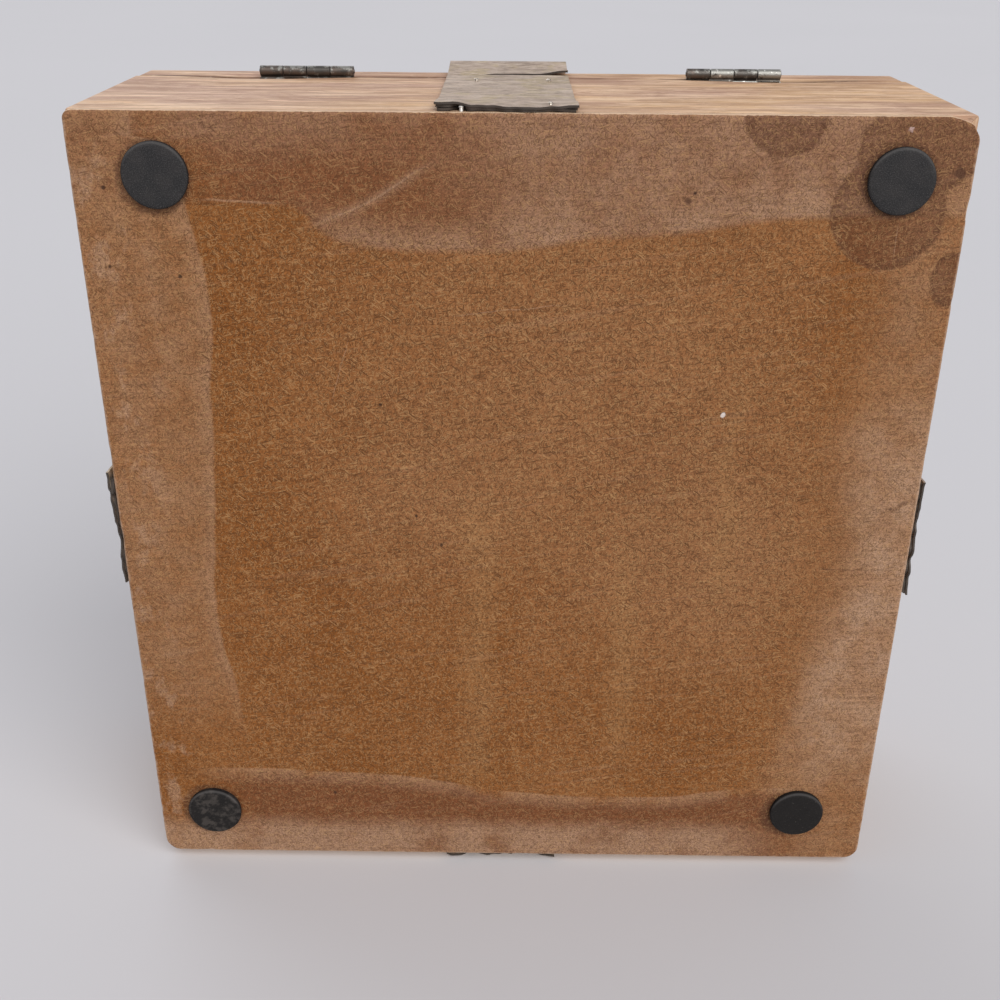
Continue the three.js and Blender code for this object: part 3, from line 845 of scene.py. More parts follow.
def hinge_bronze(name, rubbed):
    """Dark antique bronze; `rubbed` from 0 to 1 says how much of it is worn back to grey. It is
    worn further where it faces +Y, partly as a painted highlight, and the most rubbed bronze gets
    small bright spots painted as glints.
    """
    g = Graph(name)
    rear = g.parts(g.facing)[1]
    blotch = g.noise(2.3, detail=4.0, roughness=0.65)
    fine = g.noise(0.5, detail=3.0)
    reach = 0.60 - 0.34 * rubbed
    # Worn further where the surface faces +Y: partly wear, partly painted highlight.
    rear_wear_and_highlight = g.line(g.smooth(0.1, 0.95, rear), 0.13, -0.06)
    worn = g.smooth(reach, reach + 0.13, g.total(blotch, g.times(g.less(fine, 0.5), 0.25), rear_wear_and_highlight))
    colour = g.coats(
        DARK_BRONZE,
        (BROWN_BRONZE, g.patches(0.40, 0.62, 3.5)),
        (WORN_BRONZE, worn, 0.92),
        # Painted glints.
        (PAINTED_GLINT, g.patches(0.64, 0.72, 1.1), max(0.0, 2 * rubbed - 1)),
    )
    return g.surface(colour, g.line(blotch, 0.25, 0.28), g.total(blotch, fine), 0.06, metallic=0.8)


def tack_steel(name, bright, dull, metallic):
    g = Graph(name)
    tarnish = g.noise(0.8, detail=3.0)
    colour = g.mix(g.smooth(0.40, 0.62, tarnish), bright, dull)
    return g.surface(colour, g.line(tarnish, 0.30, 0.14), tarnish, 0.03, metallic=metallic)


def pad_rubber():
    """Black rubber. The feet at the front, which the box stands nearest to, are darker and
    dirtier; each foot's rounded rim gets a painted highlight where it faces +Y."""
    g = Graph("pad_rubber")
    foot_z = box_mm("rear_left_pad")[0].z
    x, y, z = g.parts(g.at)
    _, rearwards, downwards = g.parts(g.facing)
    grain = g.noise(0.33, detail=3.0, roughness=0.7)
    cloud = g.noise(5.0, detail=3.0)
    front = g.smooth(-20.0, -60.0, y)
    dirty = g.patches(0.44, 0.62, 3.4, detail=4.0, roughness=0.65)
    smeared = g.times(front, dirty, g.smooth(20.0, 60.0, x))
    # Painted highlight on the rounded rim, where it faces both +Y and -Z.
    painted_rim_highlight = g.times(g.smooth(0.05, 0.35, rearwards), g.smooth(-0.2, -0.6, downwards))
    dust = g.times(g.patches(0.60, 0.78, 0.9, detail=3.0, roughness=0.7), g.line(front, 0.18, 0.22))
    colour = g.coats(
        RUBBER_BLACK,
        (RUBBER_CLOUD, g.smooth(0.32, 0.68, cloud)),
        (RUBBER_GRAIN, g.smooth(0.48, 0.68, grain), 0.65),
        (RUBBER_DARK, front, 0.72),
        (RUBBER_DIRT, smeared, 0.60),
        (RUBBER_PAINTED_HIGHLIGHT, painted_rim_highlight, 0.28),
        (RUBBER_DUST, dust),
        (RUBBER_SIDE, g.smooth(foot_z + 0.15, foot_z + 0.6, z), 0.55),
    )
    return g.surface(colour, g.line(cloud, 0.18, 0.60), grain, 0.10, specular=0.16)


def floor_paint():
    """Plain pale floor that can be looked through from behind."""
    g = Graph("pale_floor")
    colour = g.mix(g.noise(900.0), (0.585, 0.580, 0.605), (0.610, 0.605, 0.630))
    paint = g.node("ShaderNodeBsdfDiffuse", {"Color": colour})
    clear = g.node("ShaderNodeBsdfTransparent")
    behind = g.node("ShaderNodeNewGeometry").outputs["Backfacing"]
    either = g.node("ShaderNodeMixShader", {0: behind, 1: paint.outputs[0], 2: clear.outputs[0]})
    return g.finished(either)


MATERIALS = {
    "hardboard": hardboard(),
    "wood_x": softwood("softwood_long", "X", pith=(34.0, 96.0)),
    "wood_y": softwood("softwood_cross", "Y", pith=(52.0, 90.0)),
    "lid_board": softwood("lid_board", "panel", pith=(20.0, 60.0), tint=0.96),
    "strap_x": strap_metal("strap_metal_x", "X"),
    "strap_y": strap_metal("strap_metal_y", "Y"),
    "dark_bronze": hinge_bronze("hinge_bronze_dark", 0.26),
    "half_bronze": hinge_bronze("hinge_bronze_half", 0.40),
    "rubbed_bronze": hinge_bronze("hinge_bronze_rubbed", 1.0),
    "tack": tack_steel("tack_steel", (0.74, 0.68, 0.60), (0.36, 0.29, 0.23), 0.80),
    "bright_tack": tack_steel("tack_steel_bright", (0.90, 0.89, 0.86), (0.74, 0.71, 0.66), 0.4),
    "pad": pad_rubber(),
}

# ---- base and pads --------------------------------------------------------------------------

# From the rear right corner round by the rear left one, which is worn to a slant.
BASE_CORNER_RADII = [2.5, 5.0, 2.5, 4.0, 5.0, 5.5]
BASE_OUTLINE_STEP = 1.1
PAD_STEPS = 72


def base_board():
    """The hardboard sheet: hard flat skin below, its edge rubbed and finely chipped."""
    x, y = HALF_WIDTH, HALF_DEPTH
    corners = [(x, y), (-x + 8.5, y), (-x + 2.6, y - 1.7), (-x, y - 5.6), (-x, -y), (x, -y)]
    outline = spaced(rounded(corners, BASE_CORNER_RADII, steps=7), BASE_OUTLINE_STEP)
    top, bottom = BASE_HIGH.z, BASE_LOW.z
    # (how far in from the edge, height, share of the chipping) from the upper face down
    levels = [
        (20, top, 0), (0.5, top, 0), (0.12, top - 0.1, 0.2), (0, top - 0.4, 0.3), (0, bottom + 1.4, 0.4),
        (0, bottom + 0.75, 0.6), (0.10, bottom + 0.36, 1), (0.26, bottom + 0.14, 1),
        (0.52, bottom + 0.03, 0.8), (0.95, bottom, 0.4),
    ]
    levels += [(inset, bottom, 0) for inset in (2, 6, 15, 35, 60, 90)]

    def chipped(px, py, inset, height, chipping):
        fuzz = 0.10 * abs(wobble(px, py, height, 1.3)) + 0.16 * max(0, wobble(px, py, 0, 5.0, 3.1))
        chip = 0.55 * smooth(0.35, 0.75, wobble(px, py, 0, 9.0, 7.7))
        away = inset + chipping * (fuzz + chip)
        return px * (1 - away / x), py * (1 - away / y), height

    rings = ringed(outline, levels, chipped)
    piece("base_board", loft(rings), "body", ["base_panel"], "hardboard")


def pad(corner, seed):
    """A round stick-on foot, a little out of true, with a rounded rim."""
    node = f"{corner}_pad"
    low, high = box_mm(node)
    radius = (high.x - low.x) / 2
    # (share of the radius, height above the foot)
    levels = [
        (0.30, 0.02), (0.62, 0.0), (0.84, 0.02), (0.91, 0.07), (0.955, 0.18), (0.985, 0.38), (1.0, 0.66),
        (0.996, 1.2), (0.985, high.z - low.z),
    ]

    def pressed(cx, cy, share, height):
        out = radius * share * (1 - 0.012 * abs(wobble(cx, cy, seed, 0.9)))
        dent = 0.03 * abs(wobble(cx * share * 9, cy * share * 9, seed * 5, 3.0))
        return out * cx, out * cy, height + dent * smooth(1.2, 0.0, height)

    foot = Matrix.Translation(((low.x + high.x) / 2, (low.y + high.y) / 2, low.z))
    shape = placed(loft(ringed(circle(PAD_STEPS), levels, pressed)), foot)
    piece(f"{corner}_foot", shape, "body", [node], "pad", sharp=50)


# ---- walls and rails ------------------------------------------------------------------------

WALL_CORNER = 1.1
LID_CORNER = 2.4
MITRE_EASE = 0.06  # of each board, so that the mitres show as fine lines
EASED_EDGE = 0.7
LID_ROUNDOVER = 6.0
SEAM_DROP = 1.1  # the lid's rails come down this far towards the walls, except by the hinges
PANEL_GAP = 0.05
BOARD_STEP = 5.0
END_SPACING = [0.0, 0.35, 0.8, 1.3, 1.9, 2.5, 3.1, 4.5, 7.0, 10.0]


def stations(length, step):
    """Places from end to end of a length, in millimetres, closer together near the ends."""
    inner = length - 2 * END_SPACING[-1]
    cuts = math.ceil(inner / step)
    middle = [END_SPACING[-1] + inner * i / cuts for i in range(1, cuts)]
    return END_SPACING + middle + [length - place for place in reversed(END_SPACING)]


def mitred(side, profile, corner, worn_seam):
    """Runs a closed (distance from the box's middle, height) profile along a side, between
    mitres, with the box's upright corners rounded to the radius `corner`. `worn_seam` gives how
    far the seam's edge moves up and back."""
    length = 2 * side.along
    seed = side.turn + 1.7

    def run(out, height, place):
        share = 2 * place / length - 1
        loose = 1 - share ** 12
        x = share * (side.along - (side.reach - out) - MITRE_EASE)
        y = out
        past_x = abs(x) - (side.along - corner)
        past_y = out - (side.reach - corner)
        if past_x > 0 and past_y > 0:
            shrink = max(past_x, past_y) / math.hypot(past_x, past_y)
            x = math.copysign(side.along - corner + past_x * shrink, x)
            y = side.reach - corner + past_y * shrink
        lift, back = worn_seam(x, out, height)
        y -= back
        hollow, tooling = wobble(x, y, height, 17.0, seed), abs(wobble(x, y, height, 3.0, seed))
        y += loose * (0.07 * hollow - 0.05 * tooling)
        return x, y, height + lift + loose * 0.05 * wobble(x, y, height, 11.0, seed + 4)

    levels = [(place,) for place in stations(length, BOARD_STEP)]
    return turned(loft(ringed(profile, levels, run)), side)


def worn_beside_hinges(side, x, out, edge_gap):
    """1 on the seam's outer edge beside a hinge, towards the box's corner, where it is worn; 0
    away from there. `edge_gap` is how far a point is from the seam in height."""
    if side.name != "rear":
        return 0.0
    beside = smooth(116, 90, abs(x)) * smooth(50, 84, abs(x))
    return beside * smooth(2.4, 0.5, edge_gap) * smooth(side.reach - 3.0, side.reach - 0.8, out)


def wall(side):
    """A plain board of the body, its edges eased and its top worn beside the hinges."""
    node = f"{side.name}_wall"
    low, high = side_box(side, node)
    corners = [(high.y, low.z), (high.y, high.z), (low.y, high.z), (low.y, low.z)]
    profile = spaced(rounded(corners, [0.35, EASED_EDGE, EASED_EDGE, 0.3]), BOARD_STEP)

    def worn_seam(x, out, height):
        worn = worn_beside_hinges(side, x, out, high.z - height)
        return -1.1 * worn, 0.55 * worn

    shape = mitred(side, profile, WALL_CORNER, worn_seam)
    piece(f"{side.name}_board", shape, "body", [node], f"wood_{side.axis}")


def rail(side):
    """A rail of the lid's frame, rounded over outside and stepped inside for the thin board."""
    node = f"lid_{side.name}_rail"
    low, high = side_box(side, node)
    inner = side.reach - HALF_DEPTH + PANEL_HIGH.y + PANEL_GAP
    shelf = PANEL_LOW.z - PANEL_GAP
    corners = [
        (high.y, low.z), (high.y, high.z), (inner, high.z), (inner, shelf), (low.y, shelf),
        (low.y, low.z),
    ]
    radii = [EASED_EDGE, LID_ROUNDOVER, 0.12, 0.1, 0.4, EASED_EDGE]
    profile = spaced(rounded(corners, radii, steps=7), BOARD_STEP)

    def worn_seam(x, out, height):
        shut = smooth(side.along - 46, side.along - 12, abs(x)) if side.name == "rear" else 1.0
        worn = 0.5 * worn_beside_hinges(side, x, out, height - low.z)
        return -SEAM_DROP * shut * smooth(5, 1, height - low.z) + worn, worn

    shape = mitred(side, profile, LID_CORNER, worn_seam)
    piece(f"lid_{side.name}_moulding", shape, "lid", [node], f"wood_{side.axis}")


def lid_top():
    """The thin board let into the lid, crowned by a hair and eased along its edges."""
    x, y = PANEL_HIGH.x, PANEL_HIGH.y
    outline = spaced(rounded([(x, y), (-x, y), (-x, -y), (x, -y)], [0.5] * 4, steps=2), 4.0)
    low, high = PANEL_LOW.z, PANEL_HIGH.z
    levels = [(60, low), (10, low), (0.3, low), (0, low + 0.3), (0, high - 0.35), (0.1, high - 0.1)]
    levels += [(inset, high) for inset in (0.35, 6, 20, 45, 75, 105)]

    def crowned(px, py, inset, height):
        qx, qy = px * (1 - inset / x), py * (1 - inset / y)
        return qx, qy, height + 0.08 * wobble(qx, qy, height, 30.0) * smooth(0.3, 8, inset)

    shape = loft(ringed(outline, levels, crowned))
    piece("lid_top_board", shape, "lid", ["lid_panel"], "lid_board")


# ---- straps ---------------------------------------------------------------------------------

STRAP_SHEET = 0.62
HEM_SHEET = 0.72
STRAP_FOLD = 1.0
WOOD_GAP = 0.42
FOOT_DROP = -3.0  # the straps' wavy feet hang down over the base board's edge
TORN_AT, TORN_REACH, TORN_HEIGHT = 13.0, 3.0, 2.4  # the rear strap's hem, round its loose tack
LID_STRAP_LEAN = 1.05  # how far a lid strap's face stands off the wood at the seam
STRAP_HALF_WIDTH = 20.0  # nearly: shares across a strap are of this
RIM_WIDTH = 0.45
# Painted shade on a strap's side edges, and on its back face in the gap to the wood.
SIDE_EDGE_SHADE, BACK_FACE_SHADE = 0.30, 0.35
STRAP_ROWS, TOP_ROWS, FOLD_STEPS = 34, 60, 4
STRAP_COLUMNS, HEM_COLUMNS, LID_STRAP_COLUMNS = 48, 64, 40


def sheet(route, width, columns, thickness, foot_edge_shade, far_end_shade, face_shade=0.0):
    """A bent strip of sheet. `route(across)` gives the face's points along the strip with their
    outward directions; the sheet has `thickness` behind that face. Returns the shape and how much
    painted shade each vertex takes, from 0 to 1, on the cut edges, the back face and the face: the
    two functions after `thickness` give it along the two ends, and the last argument over the
    whole face."""
    half = width / 2
    inner_width = width - 2 * RIM_WIDTH
    across = [-half, *[-half + RIM_WIDTH + inner_width * i / columns for i in range(columns + 1)], half]
    strips = [route(u) for u in across]
    rows, count = len(strips[0]), len(across)
    face = [strip[row] for row in range(rows) for strip in strips]
    vertices = [point for point, _ in face] + [point - outward * thickness for point, outward in face]
    below = len(face)
    faces = []
    for row in range(rows - 1):
        for column in range(count - 1):
            a = row * count + column
            faces.append((a, a + 1, a + 1 + count, a + count))
            faces.append((below + a, below + a + count, below + a + 1 + count, below + a + 1))
    border = list(range(count))
    border += [row * count + count - 1 for row in range(1, rows)]
    border += [(rows - 1) * count + column for column in range(count - 2, -1, -1)]
    border += [row * count for row in range(rows - 2, 0, -1)]
    for a, b in zip(border, border[1:] + border[:1]):
        faces.append((a, b, below + b, below + a))

    # Painted shade of each vertex: along the two ends as asked, on the side edges, over the whole face
    # where asked, and at least the back face's share on the back.
    end_shades = {0: foot_edge_shade, rows - 1: far_end_shade}
    rim = []
    for row in range(rows):
        for column, u in enumerate(across):
            at_end = end_shades[row](u) if row in end_shades else 0.0
            rim.append(max(at_end, face_shade, SIDE_EDGE_SHADE if column in (0, count - 1) else 0.0))
    rim += [max(BACK_FACE_SHADE, value) for value in rim]
    return (vertices, faces), rim


def faced(points):
    """The (x, y, z) points of a route that runs up a side facing +Y, each with its outward
    direction."""
    result = []
    for i, point in enumerate(points):
        before, after = points[max(0, i - 1)], points[min(len(points) - 1, i + 1)]
        run = Vector((0, after[1] - before[1], after[2] - before[2])).normalized()
        result.append((Vector(point), Vector((0, run.z, -run.y))))
    return result


def foot_end(u, seed):
    """How far a strap's wavy foot reaches up from its node's, `u` across from its middle."""
    return FOOT_DROP + 2.7 * wobble(u, 0, 0, 7.5, seed) + 1.5 * wobble(u, 0, 0, 2.9, seed + 5)


def foot_lift(side, u, seed):
    """How far a strap's foot stands off the wood."""
    if side.name == "rear":
        waves = 0.50 * wobble(u, 0, 0, 6.5, seed + 9)
        return 0.72 + waves + 0.95 * smooth(9, 15, u) + 0.45 * smooth(-13, -18, u)
    waves = 0.10 if side.name == "front" else 0.35
    return 0.85 + waves * wobble(u, 0, 0, 7.0, seed + 9) + 0.2 * (u / STRAP_HALF_WIDTH) ** 2


def body_strap_route(side, middle, foot, top, seed):
    """One strap on a wall, from its loose foot up to the seam."""
    heights = [0.0, RIM_WIDTH, 1.2, 2.2, 3.4, 5.0]
    start = heights[-1]
    run = top - foot - start - RIM_WIDTH
    heights += [start + run * i / STRAP_ROWS for i in range(1, STRAP_ROWS + 1)]
    heights.append(top - foot)

    def route(u):
        share = u / STRAP_HALF_WIDTH
        end = foot_end(u, seed)
        lift = foot_lift(side, u, seed)
        edge = 0.22 if abs(u) > STRAP_HALF_WIDTH - 1 else 0.0
        flare = share - 0.8 if side.name == "right" else 0.3 * share
        points = []
        for height in heights:
            z = foot + height + end * smooth(9, 0, height)
            ripple = 0.16 * wobble(u * 0.12, 0, z, 3.1, seed) * smooth(0, 6, height)
            dent = 0.12 * wobble(u, 0, z, 14.0, seed + 2)
            out = WOOD_GAP + STRAP_SHEET + max(-0.3, ripple + dent) + lift * smooth(16, 0, height)
            x = middle + u + edge * wobble(0, 0, z, 4.0, seed + math.copysign(3, u))
            x += 0.035 * wobble(0, 0, share * 3, 2.0, seed) + flare * smooth(foot + 22, foot, z)
            points.append((x, side.reach + out, z))
        return faced(points)

    return route


def hem_route(side, middle, foot, seed, ply):
    """The sheet turned back behind a strap's foot, in two plies: 0 lies against the strap and 1
    against the wood."""

    def route(u):
        waves = 1 + wobble(u, 0, 0, 2.4 + 1.7 * ply, seed + 12 + ply)
        end = foot_end(u, seed) + 0.15 + (0.5 + 0.4 * ply) * waves
        end -= ply * 0.7 * smooth(13, 18, abs(u))
        if side.name == "rear":
            end += TORN_HEIGHT * smooth(TORN_REACH, 0, abs(u - TORN_AT)) * (0.6 + 0.4 * ply)
        points = []
        for height in (0.0, 0.3, 0.9, 2.0, 4.0, 7.0):
            z = foot + height + end * smooth(9, 0, height)
            behind = WOOD_GAP - 0.06 + foot_lift(side, u, seed) * smooth(16, 0, height)
            out = max(HEM_SHEET + 0.06, behind * (1 - 0.5 * ply))
            points.append((middle + u, side.reach + out, z))
        return faced(points)

    return route


def seam_gap_shade(u):
    """Painted shade along a strap's end at the seam: none near the +X edge, where the two straps of
    a side look like one sheet, and dark where they part towards the other edge.
    """
    return 0.95 * smooth(10.5, 6.0, u)


def body_strap(side, seed):
    """The strap on a wall, with the two plies of its hem turned back behind its foot. The foot's
    cut edge and the hem plies, which lie in the gap behind it, are darkened as painted shade.
    """
    node = f"{side.name}_body_strap"
    low, high = side_box(side, node)
    middle, width = (low.x + high.x) / 2, high.x - low.x
    face = body_strap_route(side, middle, low.z, high.z + 0.85, seed)
    # Full painted shade along the foot's cut edge, and the seam's painted shade at the top.
    layers = [sheet(face, width, STRAP_COLUMNS, STRAP_SHEET, lambda u: 1.0, seam_gap_shade)]
    # Each hem ply is darkened all over, and more at its end, as painted shade of the gap behind the
    # foot.
    for ply, (narrower, end_shade) in enumerate([(0.2, 0.78), (1.0, 0.92)]):
        hem = hem_route(side, middle, low.z, seed, ply)
        layers.append(sheet(
            hem, width - narrower, HEM_COLUMNS, HEM_SHEET, lambda u: end_shade, seam_gap_shade, face_shade=0.72))
    shapes, rims = zip(*layers)
    piece(f"{side.name}_strap", turned(merged(*shapes), side), "body", [node],
          f"strap_{side.axis}", rim=sum(rims, []), sharp=50)


def lid_strap_route(side, middle, low, high, step, seed):
    """A strap over the lid: up one side, over its sharp fold, across and down the far side."""
    foot = low.z - 1.55
    fold_z = RAIL_HIGH.z + 1.3
    fold_out = high.y - side.reach - 0.3
    half_top = side.reach + fold_out - STRAP_FOLD

    def top_run(u):
        """Flat over the lid, but for the hump over the strap it crosses."""
        points = []
        for i in range(1, TOP_ROWS):
            y = half_top * (1 - 2 * i / TOP_ROWS)
            ripple = 0.10 * wobble(u, y, 0, 11.0, seed) + 0.06 * wobble(u * 0.1, y, 0, 3.0, seed)
            rise = step * smooth(34, 23, abs(y)) + ripple
            points.append((y, fold_z + rise * smooth(0, 10, half_top - abs(y))))
        return points

    def end_run(u, end_of_strap):
        """From the foot to the fold, as (out from the wood, height). `end_of_strap` is 1 at the
        near end of the strap, -1 at the far one."""
        torn = end_of_strap > 0 and side.name == "rear"
        loose = smooth(-10, -19, u) if torn else 0.15
        end = 0.75 * loose + 0.16 * abs(wobble(u, 0, end_of_strap, 8.0, seed)) * smooth(9, 3, u)
        points = []
        for share in (0.0, 0.025, 0.06, 0.12, 0.2, 0.3, 0.4, 0.5, 0.6, 0.7, 0.8, 0.88, 0.94):
            z = foot + end + (fold_z - STRAP_FOLD - foot - end) * share
            lean = LID_STRAP_LEAN + (fold_out - LID_STRAP_LEAN) * share
            curl = (loose + 0.35 * smooth(8, 4, u)) * smooth(0.35, 0.0, share)
            ripple = 0.12 * wobble(u * 0.1, end_of_strap, z, 3.3, seed)
            points.append((lean + curl + ripple, z))
        for i in range(FOLD_STEPS + 1):
            angle = math.pi / 2 * i / FOLD_STEPS
            inwards, upwards = 1 - math.cos(angle), 1 - math.sin(angle)
            points.append((fold_out - STRAP_FOLD * inwards, fold_z - STRAP_FOLD * upwards))
        return points

    def route(u):
        run = [(side.reach + out, z) for out, z in end_run(u, 1)]
        run += top_run(u)
        run += [(-side.reach - out, z) for out, z in reversed(end_run(u, -1))]
        return faced([(middle + u, y, z) for y, z in run])

    return route


def lid_strap(node, side, step, seed):
    """`step` is how far the strap rises over the one it crosses."""
    low, high = side_box(side, node)
    middle, width = (low.x + high.x) / 2, high.x - low.x
    route = lid_strap_route(side, middle, low, high, step, seed)
    # Painted shade along both ends, where the strap parts from the straps on the walls.
    shape, rim = sheet(route, width, LID_STRAP_COLUMNS, STRAP_SHEET, seam_gap_shade, seam_gap_shade)
    name = node.replace("lid_strap", "lid_metal_strap")
    piece(name, turned(shape, side), "lid", [node], f"strap_{side.axis}",
          rim=rim, sharp=50)


# ---- tacks, hinges and screws ---------------------------------------------------------------

ROUND_STEPS = 24
TACK_LENGTH = 8.2
TACK_SHARE = 0.74  # of its node's width
TACK_HEAD = 0.42
TACK_SUNK = 0.52  # from the node's outer face in to the underside of the head
LOOSE_TACK = "rear_body_brad_lower_right"
TACK_SHIFTS = {LOOSE_TACK: Vector((2.6, 0, -4.2)), "rear_body_brad_lower_left": Vector((0.9, 0, -2.0))}
LOOSE_TACK_SUNK = 0.9  # further in, under the torn hem


def tack_shape(head_radius):
    angles = [math.radians(degrees) for degrees in (8, 25, 42, 58, 73)]
    dome = [(head_radius * math.cos(a), TACK_HEAD * math.sin(a)) for a in angles]
    under = [(head_radius * 0.5, 0.02), (head_radius * 0.94, 0.0)]
    shank = [(0, -TACK_LENGTH), (0.5, 1.1 - TACK_LENGTH), (0.55, -0.2)]
    return lathe([*shank, *under, *dome, (0, TACK_HEAD)], ROUND_STEPS)


def tack(node):
    """A tack through a strap: on the box's side, or on its top if it holds a lid strap."""
    low, high = box_mm(node)
    middle = (low + high) / 2
    body = body_of(node)
    if body == "lid":
        width = high.x - low.x
        stand = Matrix.Translation((middle.x, middle.y, high.z - TACK_SUNK))
    else:
        width = high.z - low.z
        side = SIDES[node.split("_")[0]]
        turn = Matrix.Rotation(side.turn, 4, "Z")
        outward = turn.to_3x3() @ Vector((0, 1, 0))
        reach = max(abs(high.dot(outward)), abs(low.dot(outward))) - TACK_SUNK
        middle += TACK_SHIFTS.get(node, Vector((0, 0, 0)))
        if node == LOOSE_TACK:
            reach -= LOOSE_TACK_SUNK
        place = middle + outward * (reach - middle.dot(outward))
        stand = Matrix.Translation(place) @ turn @ Matrix.Rotation(-math.pi / 2, 4, "X")
    shape = placed(tack_shape(width / 2 * TACK_SHARE), stand)
    finish = "bright_tack" if node == LOOSE_TACK else "tack"
    piece(node.replace("brad", "tack"), shape, body, [node], finish)


HINGE_KNUCKLES = 4
BODY_KNUCKLES = (0, 2)
KNUCKLE_CHAMFER = 0.13
KNUCKLE_GAP = 0.18
PIN_END = 0.35  # how far the pin stands out of its outermost knuckles
LEAF_SHEET = 0.65
LEAF_DROP = 0.70  # from the pin's middle to the far face of the leaf
LEAF_GAP = 0.05
HINGE_FINISH = {
    ("left", "body"): "rubbed_bronze", ("left", "lid"): "dark_bronze",
    ("right", "body"): "half_bronze", ("right", "lid"): "dark_bronze",
}


def knuckle_outline(axis_y, axis_z, radius, root_y, flip):
    """Section of a leaf's curled edge, as (y, z): in along the leaf and round the pin."""
    inner = radius - LEAF_SHEET
    near_face = LEAF_SHEET - LEAF_DROP
    steps = 26
    start = math.pi + math.asin(LEAF_DROP / radius)
    inner_start = math.pi + math.asin(-near_face / inner)
    end = 3 * math.pi - 0.10
    outer_angles = [start + (end - start) * i / steps for i in range(steps + 1)]
    inner_angles = [end + (inner_start - end) * i / steps for i in range(steps + 1)]
    points = [(root_y - axis_y, -LEAF_DROP)]
    points += [(radius * math.cos(a), radius * math.sin(a)) for a in outer_angles]
    points += [(inner * math.cos(a), inner * math.sin(a)) for a in inner_angles]
    points.append((root_y - axis_y, near_face))
    return [(axis_y + y, axis_z + flip * z) for y, z in points]


def knuckle(outline, start, end):
    """A (y, z) outline run along X, its ends chamfered towards the outline's middle."""
    middle = Vector((sum(y for y, _ in outline), sum(z for _, z in outline))) / len(outline)
    chamfer = KNUCKLE_CHAMFER

    def run(y, z, x, inset):
        towards = middle - Vector((y, z))
        towards = towards.normalized() * inset if towards.length > chamfer else towards * 0
        return x, y + towards.x, z + towards.y

    levels = [(start, chamfer), (start + chamfer, 0), (end - chamfer, 0), (end, chamfer)]
    return loft(ringed(outline, levels, run))


def leaf_plate(low, high):
    """The flat of a leaf, with softened corners."""
    corners = [(high.x, high.y), (low.x, high.y), (low.x, low.y), (high.x, low.y)]
    outline = rounded(corners, [0.5, 0.5, 1.2, 1.2], steps=4)
    middle = (low + high) / 2

    def eased(x, y, inset, z):
        return x - math.copysign(inset, x - middle.x), y - math.copysign(inset, y - middle.y), z

    levels = [(0.12, low.z), (0, low.z + 0.1), (0, high.z - 0.1), (0.12, high.z)]
    return loft(ringed(outline, levels, eased))


def hinge_leaf(name, part, axis_y, axis_z, pin_low, pin_high):
    """One leaf: its flat, and its share of the knuckles round the pin."""
    node = f"{name}_hinge_{part}_leaf"
    low, high = box_mm(node)
    in_body = part == "body"
    flip = 1 if in_body else -1
    wood = WALL_HIGH.z if in_body else RAIL_LOW.z
    faces = sorted([wood + flip * LEAF_GAP, wood + flip * (LEAF_GAP + LEAF_SHEET)])
    plate_low = Vector((low.x, low.y, faces[0]))
    plate_high = Vector((high.x, HALF_DEPTH - 0.3, faces[1]))
    shapes = [leaf_plate(plate_low, plate_high)]
    start, end = pin_low.x + PIN_END, pin_high.x - PIN_END
    pitch = (end - start + KNUCKLE_GAP) / HINGE_KNUCKLES
    outline = knuckle_outline(axis_y, axis_z, high.y - axis_y, HALF_DEPTH - 1.0, flip)
    for index in range(HINGE_KNUCKLES):
        if (index in BODY_KNUCKLES) == in_body:
            from_x = start + index * pitch
            shapes.append(knuckle(outline, from_x, from_x + pitch - KNUCKLE_GAP))
    piece(f"{name}_hinge_{part}_half", merged(*shapes), part, [node],
          HINGE_FINISH[name, part], sharp=40)


def hinge(name):
    """One butt hinge: its two leaves, and the pin, which belongs to the body."""
    axis_y, axis_z = [place / MM for place in frame["joints"][0]["pos_m"][1:]]
    node = f"{name}_hinge_pin"
    pin_low, pin_high = box_mm(node)
    for part in ("body", "lid"):
        hinge_leaf(name, part, axis_y, axis_z, pin_low, pin_high)
    length, radius = pin_high.x - pin_low.x, (pin_high.y - pin_low.y) / 2
    ends = [(0, 0), (radius * 0.75, 0.05), (radius, 0.35), (radius, length - 0.35),
            (radius * 0.75, length - 0.05), (0, length)]
    lie = Matrix.Translation((pin_low.x, axis_y, axis_z)) @ Matrix.Rotation(math.pi / 2, 4, "Y")
    shape = placed(lathe(ends, ROUND_STEPS), lie)
    piece(f"{name}_pin", shape, "body", [node], "dark_bronze")


SCREW_SHANK = 0.92
SCREW_POINT = 1.9
SCREW_TURNS = 5
SCREW_STEPS = 32
SCREW_HEAD_DEPTH = 1.1
SLOT_HALF_WIDTH = 0.32
SLOT_DEPTH = 0.55


def screw_shape(length, head):
    """A countersunk wood screw: slotted head, coarse thread and a point."""
    half_turns = 2 * SCREW_TURNS
    run = length - SCREW_HEAD_DEPTH - SCREW_POINT - 0.3
    thread = [
        (SCREW_SHANK * (0.78 if i % 2 else 1.06), -length + SCREW_POINT + run * i / half_turns)
        for i in range(half_turns + 1)
    ]
    profile = [
        (0, -length), (0.35, -length + 0.9), *thread, (SCREW_SHANK, -SCREW_HEAD_DEPTH),
        (head * 0.97, -0.12), (head, -0.04), (head * 0.97, 0.0), (head * 0.3, 0.0), (0, 0.0),
    ]
    vertices, faces = lathe(profile, SCREW_STEPS)
    slotted = [
        (x, y, z - SLOT_DEPTH if abs(y) < SLOT_HALF_WIDTH and z > -0.2 else z) for x, y, z in vertices]
    return slotted, faces


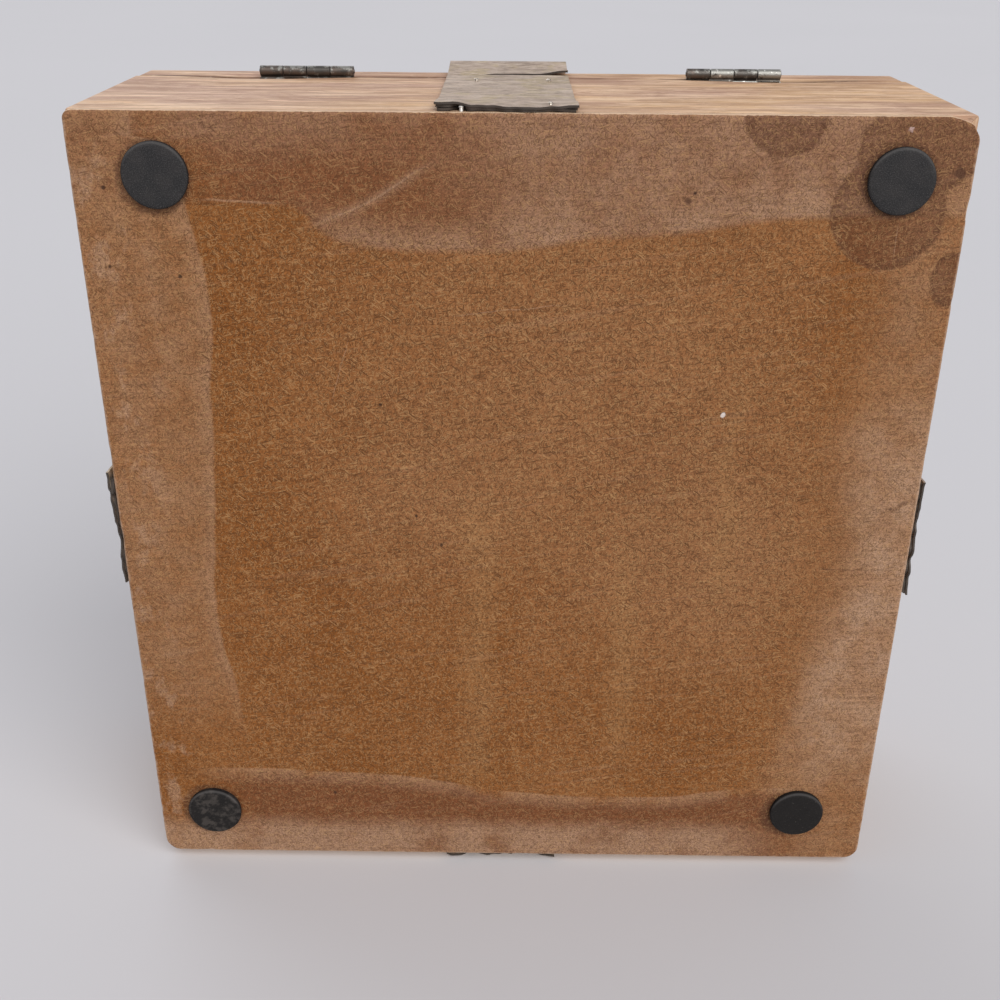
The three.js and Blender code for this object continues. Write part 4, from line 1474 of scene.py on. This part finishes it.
def screw(node):
    low, high = box_mm(node)
    body = body_of(node)
    face, turn = (high.z, 0.0) if body == "body" else (low.z, math.pi)
    stand = Matrix.Translation(((low.x + high.x) / 2, (low.y + high.y) / 2, face))
    stand = stand @ Matrix.Rotation(turn, 4, "X")
    shape = placed(screw_shape(high.z - low.z, (high.x - low.x) / 2), stand)
    name = node.replace("_hinge_", "_slotted_")
    piece(name, shape, body, [node], "half_bronze")


base_board()
for seed, corner in enumerate(("rear_right", "rear_left", "front_left", "front_right")):
    pad(corner, seed)
for side in SIDES.values():
    wall(side)
for side in SIDES.values():
    rail(side)
lid_top()
for index, side in enumerate(SIDES.values()):
    body_strap(side, seed=4.3 + 6.1 * index)
lid_strap("lid_strap_across", SIDES["left"], step=0.0, seed=2.9)
lid_strap("lid_strap_lengthwise", SIDES["rear"], step=1.4, seed=9.4)
for node in nodes_with("_brad_"):
    tack(node)
for name in ("left", "right"):
    hinge(name)
for node in nodes_with("_screw_"):
    screw(node)

# ---- floor, light and camera ----------------------------------------------------------------

FLOOR_HALF_SIZE = 6.0  # metres
SUN_ANGLE = math.radians(55)


def floor():
    """The box stands on its front straps, so the floor is upright in the frame, facing +Y."""
    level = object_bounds()[0].y - 0.0002
    work = bmesh.new()
    bmesh.ops.create_grid(work, x_segments=8, y_segments=8, size=FLOOR_HALF_SIZE)
    mesh = bpy.data.meshes.new("floor")
    work.to_mesh(mesh)
    work.free()
    mesh.transform(Matrix.Translation((0, level, 0)) @ Matrix.Rotation(-math.pi / 2, 4, "X"))
    mesh.materials.append(floor_paint())
    made = bpy.data.objects.new("floor", mesh)
    bpy.context.scene.collection.objects.link(made)
    # The floor takes the box's shadow but casts none, so the side the box stands on can be seen.
    made.visible_shadow = False
    made.visible_diffuse = False
    made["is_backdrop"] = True


def soft_sun(name, towards, strength, colour):
    """A broad soft light from one direction; `towards` points from the object to the light."""
    light = bpy.data.lights.new(name, "SUN")
    light.angle = SUN_ANGLE
    light.energy = strength
    light.color = colour
    made = bpy.data.objects.new(name, light)
    made.rotation_euler = Vector(towards).to_track_quat("Z", "Y").to_euler()
    bpy.context.scene.collection.objects.link(made)


def lights():
    world = bpy.data.worlds.new("soft studio")
    world.use_nodes = True
    background = world.node_tree.nodes["Background"]
    background.inputs["Color"].default_value = (0.95, 0.96, 1.0, 1.0)
    background.inputs["Strength"].default_value = 0.50
    bpy.context.scene.world = world
    soft_sun("key", (-0.45, 0.8, -0.8), 2.1, (1.0, 0.985, 0.96))
    soft_sun("fill", (0.6, 0.5, 0.9), 0.8, (0.97, 0.98, 1.0))
    soft_sun("front", (0.35, -1.0, 0.45), 1.1, (1.0, 0.99, 0.97))


# The camera looks up at the underside, near its middle, from this far away, in metres.
VIEW_AIM = Vector((0.0050, 0.0136, BASE_LOW.z * MM))
VIEW_DISTANCE = 0.3880
VIEW_TILT = math.radians(26.05)  # from straight below, towards the rear
VIEW_SWING = math.radians(-0.41)  # towards +X
VIEW_ROLL = math.radians(0.4)
LENS = 44.1  # millimetres


def camera():
    back = Vector((math.sin(VIEW_SWING), math.sin(VIEW_TILT), -math.cos(VIEW_TILT))).normalized()
    right = Vector((0, 1, 0)).cross(back).normalized()
    up = back.cross(right)
    axes = Matrix((right, up, back)).transposed().to_4x4()
    data = bpy.data.cameras.new("camera")
    data.lens = LENS
    data.clip_start = 0.01
    made = bpy.data.objects.new("camera", data)
    made.matrix_world = (
        Matrix.Translation(VIEW_AIM + back * VIEW_DISTANCE) @ axes @ Matrix.Rotation(VIEW_ROLL, 4, "Z"))
    bpy.context.scene.collection.objects.link(made)
    bpy.context.scene.camera = made


floor()
lights()
camera()
bpy.context.scene.view_settings.view_transform = "Standard"
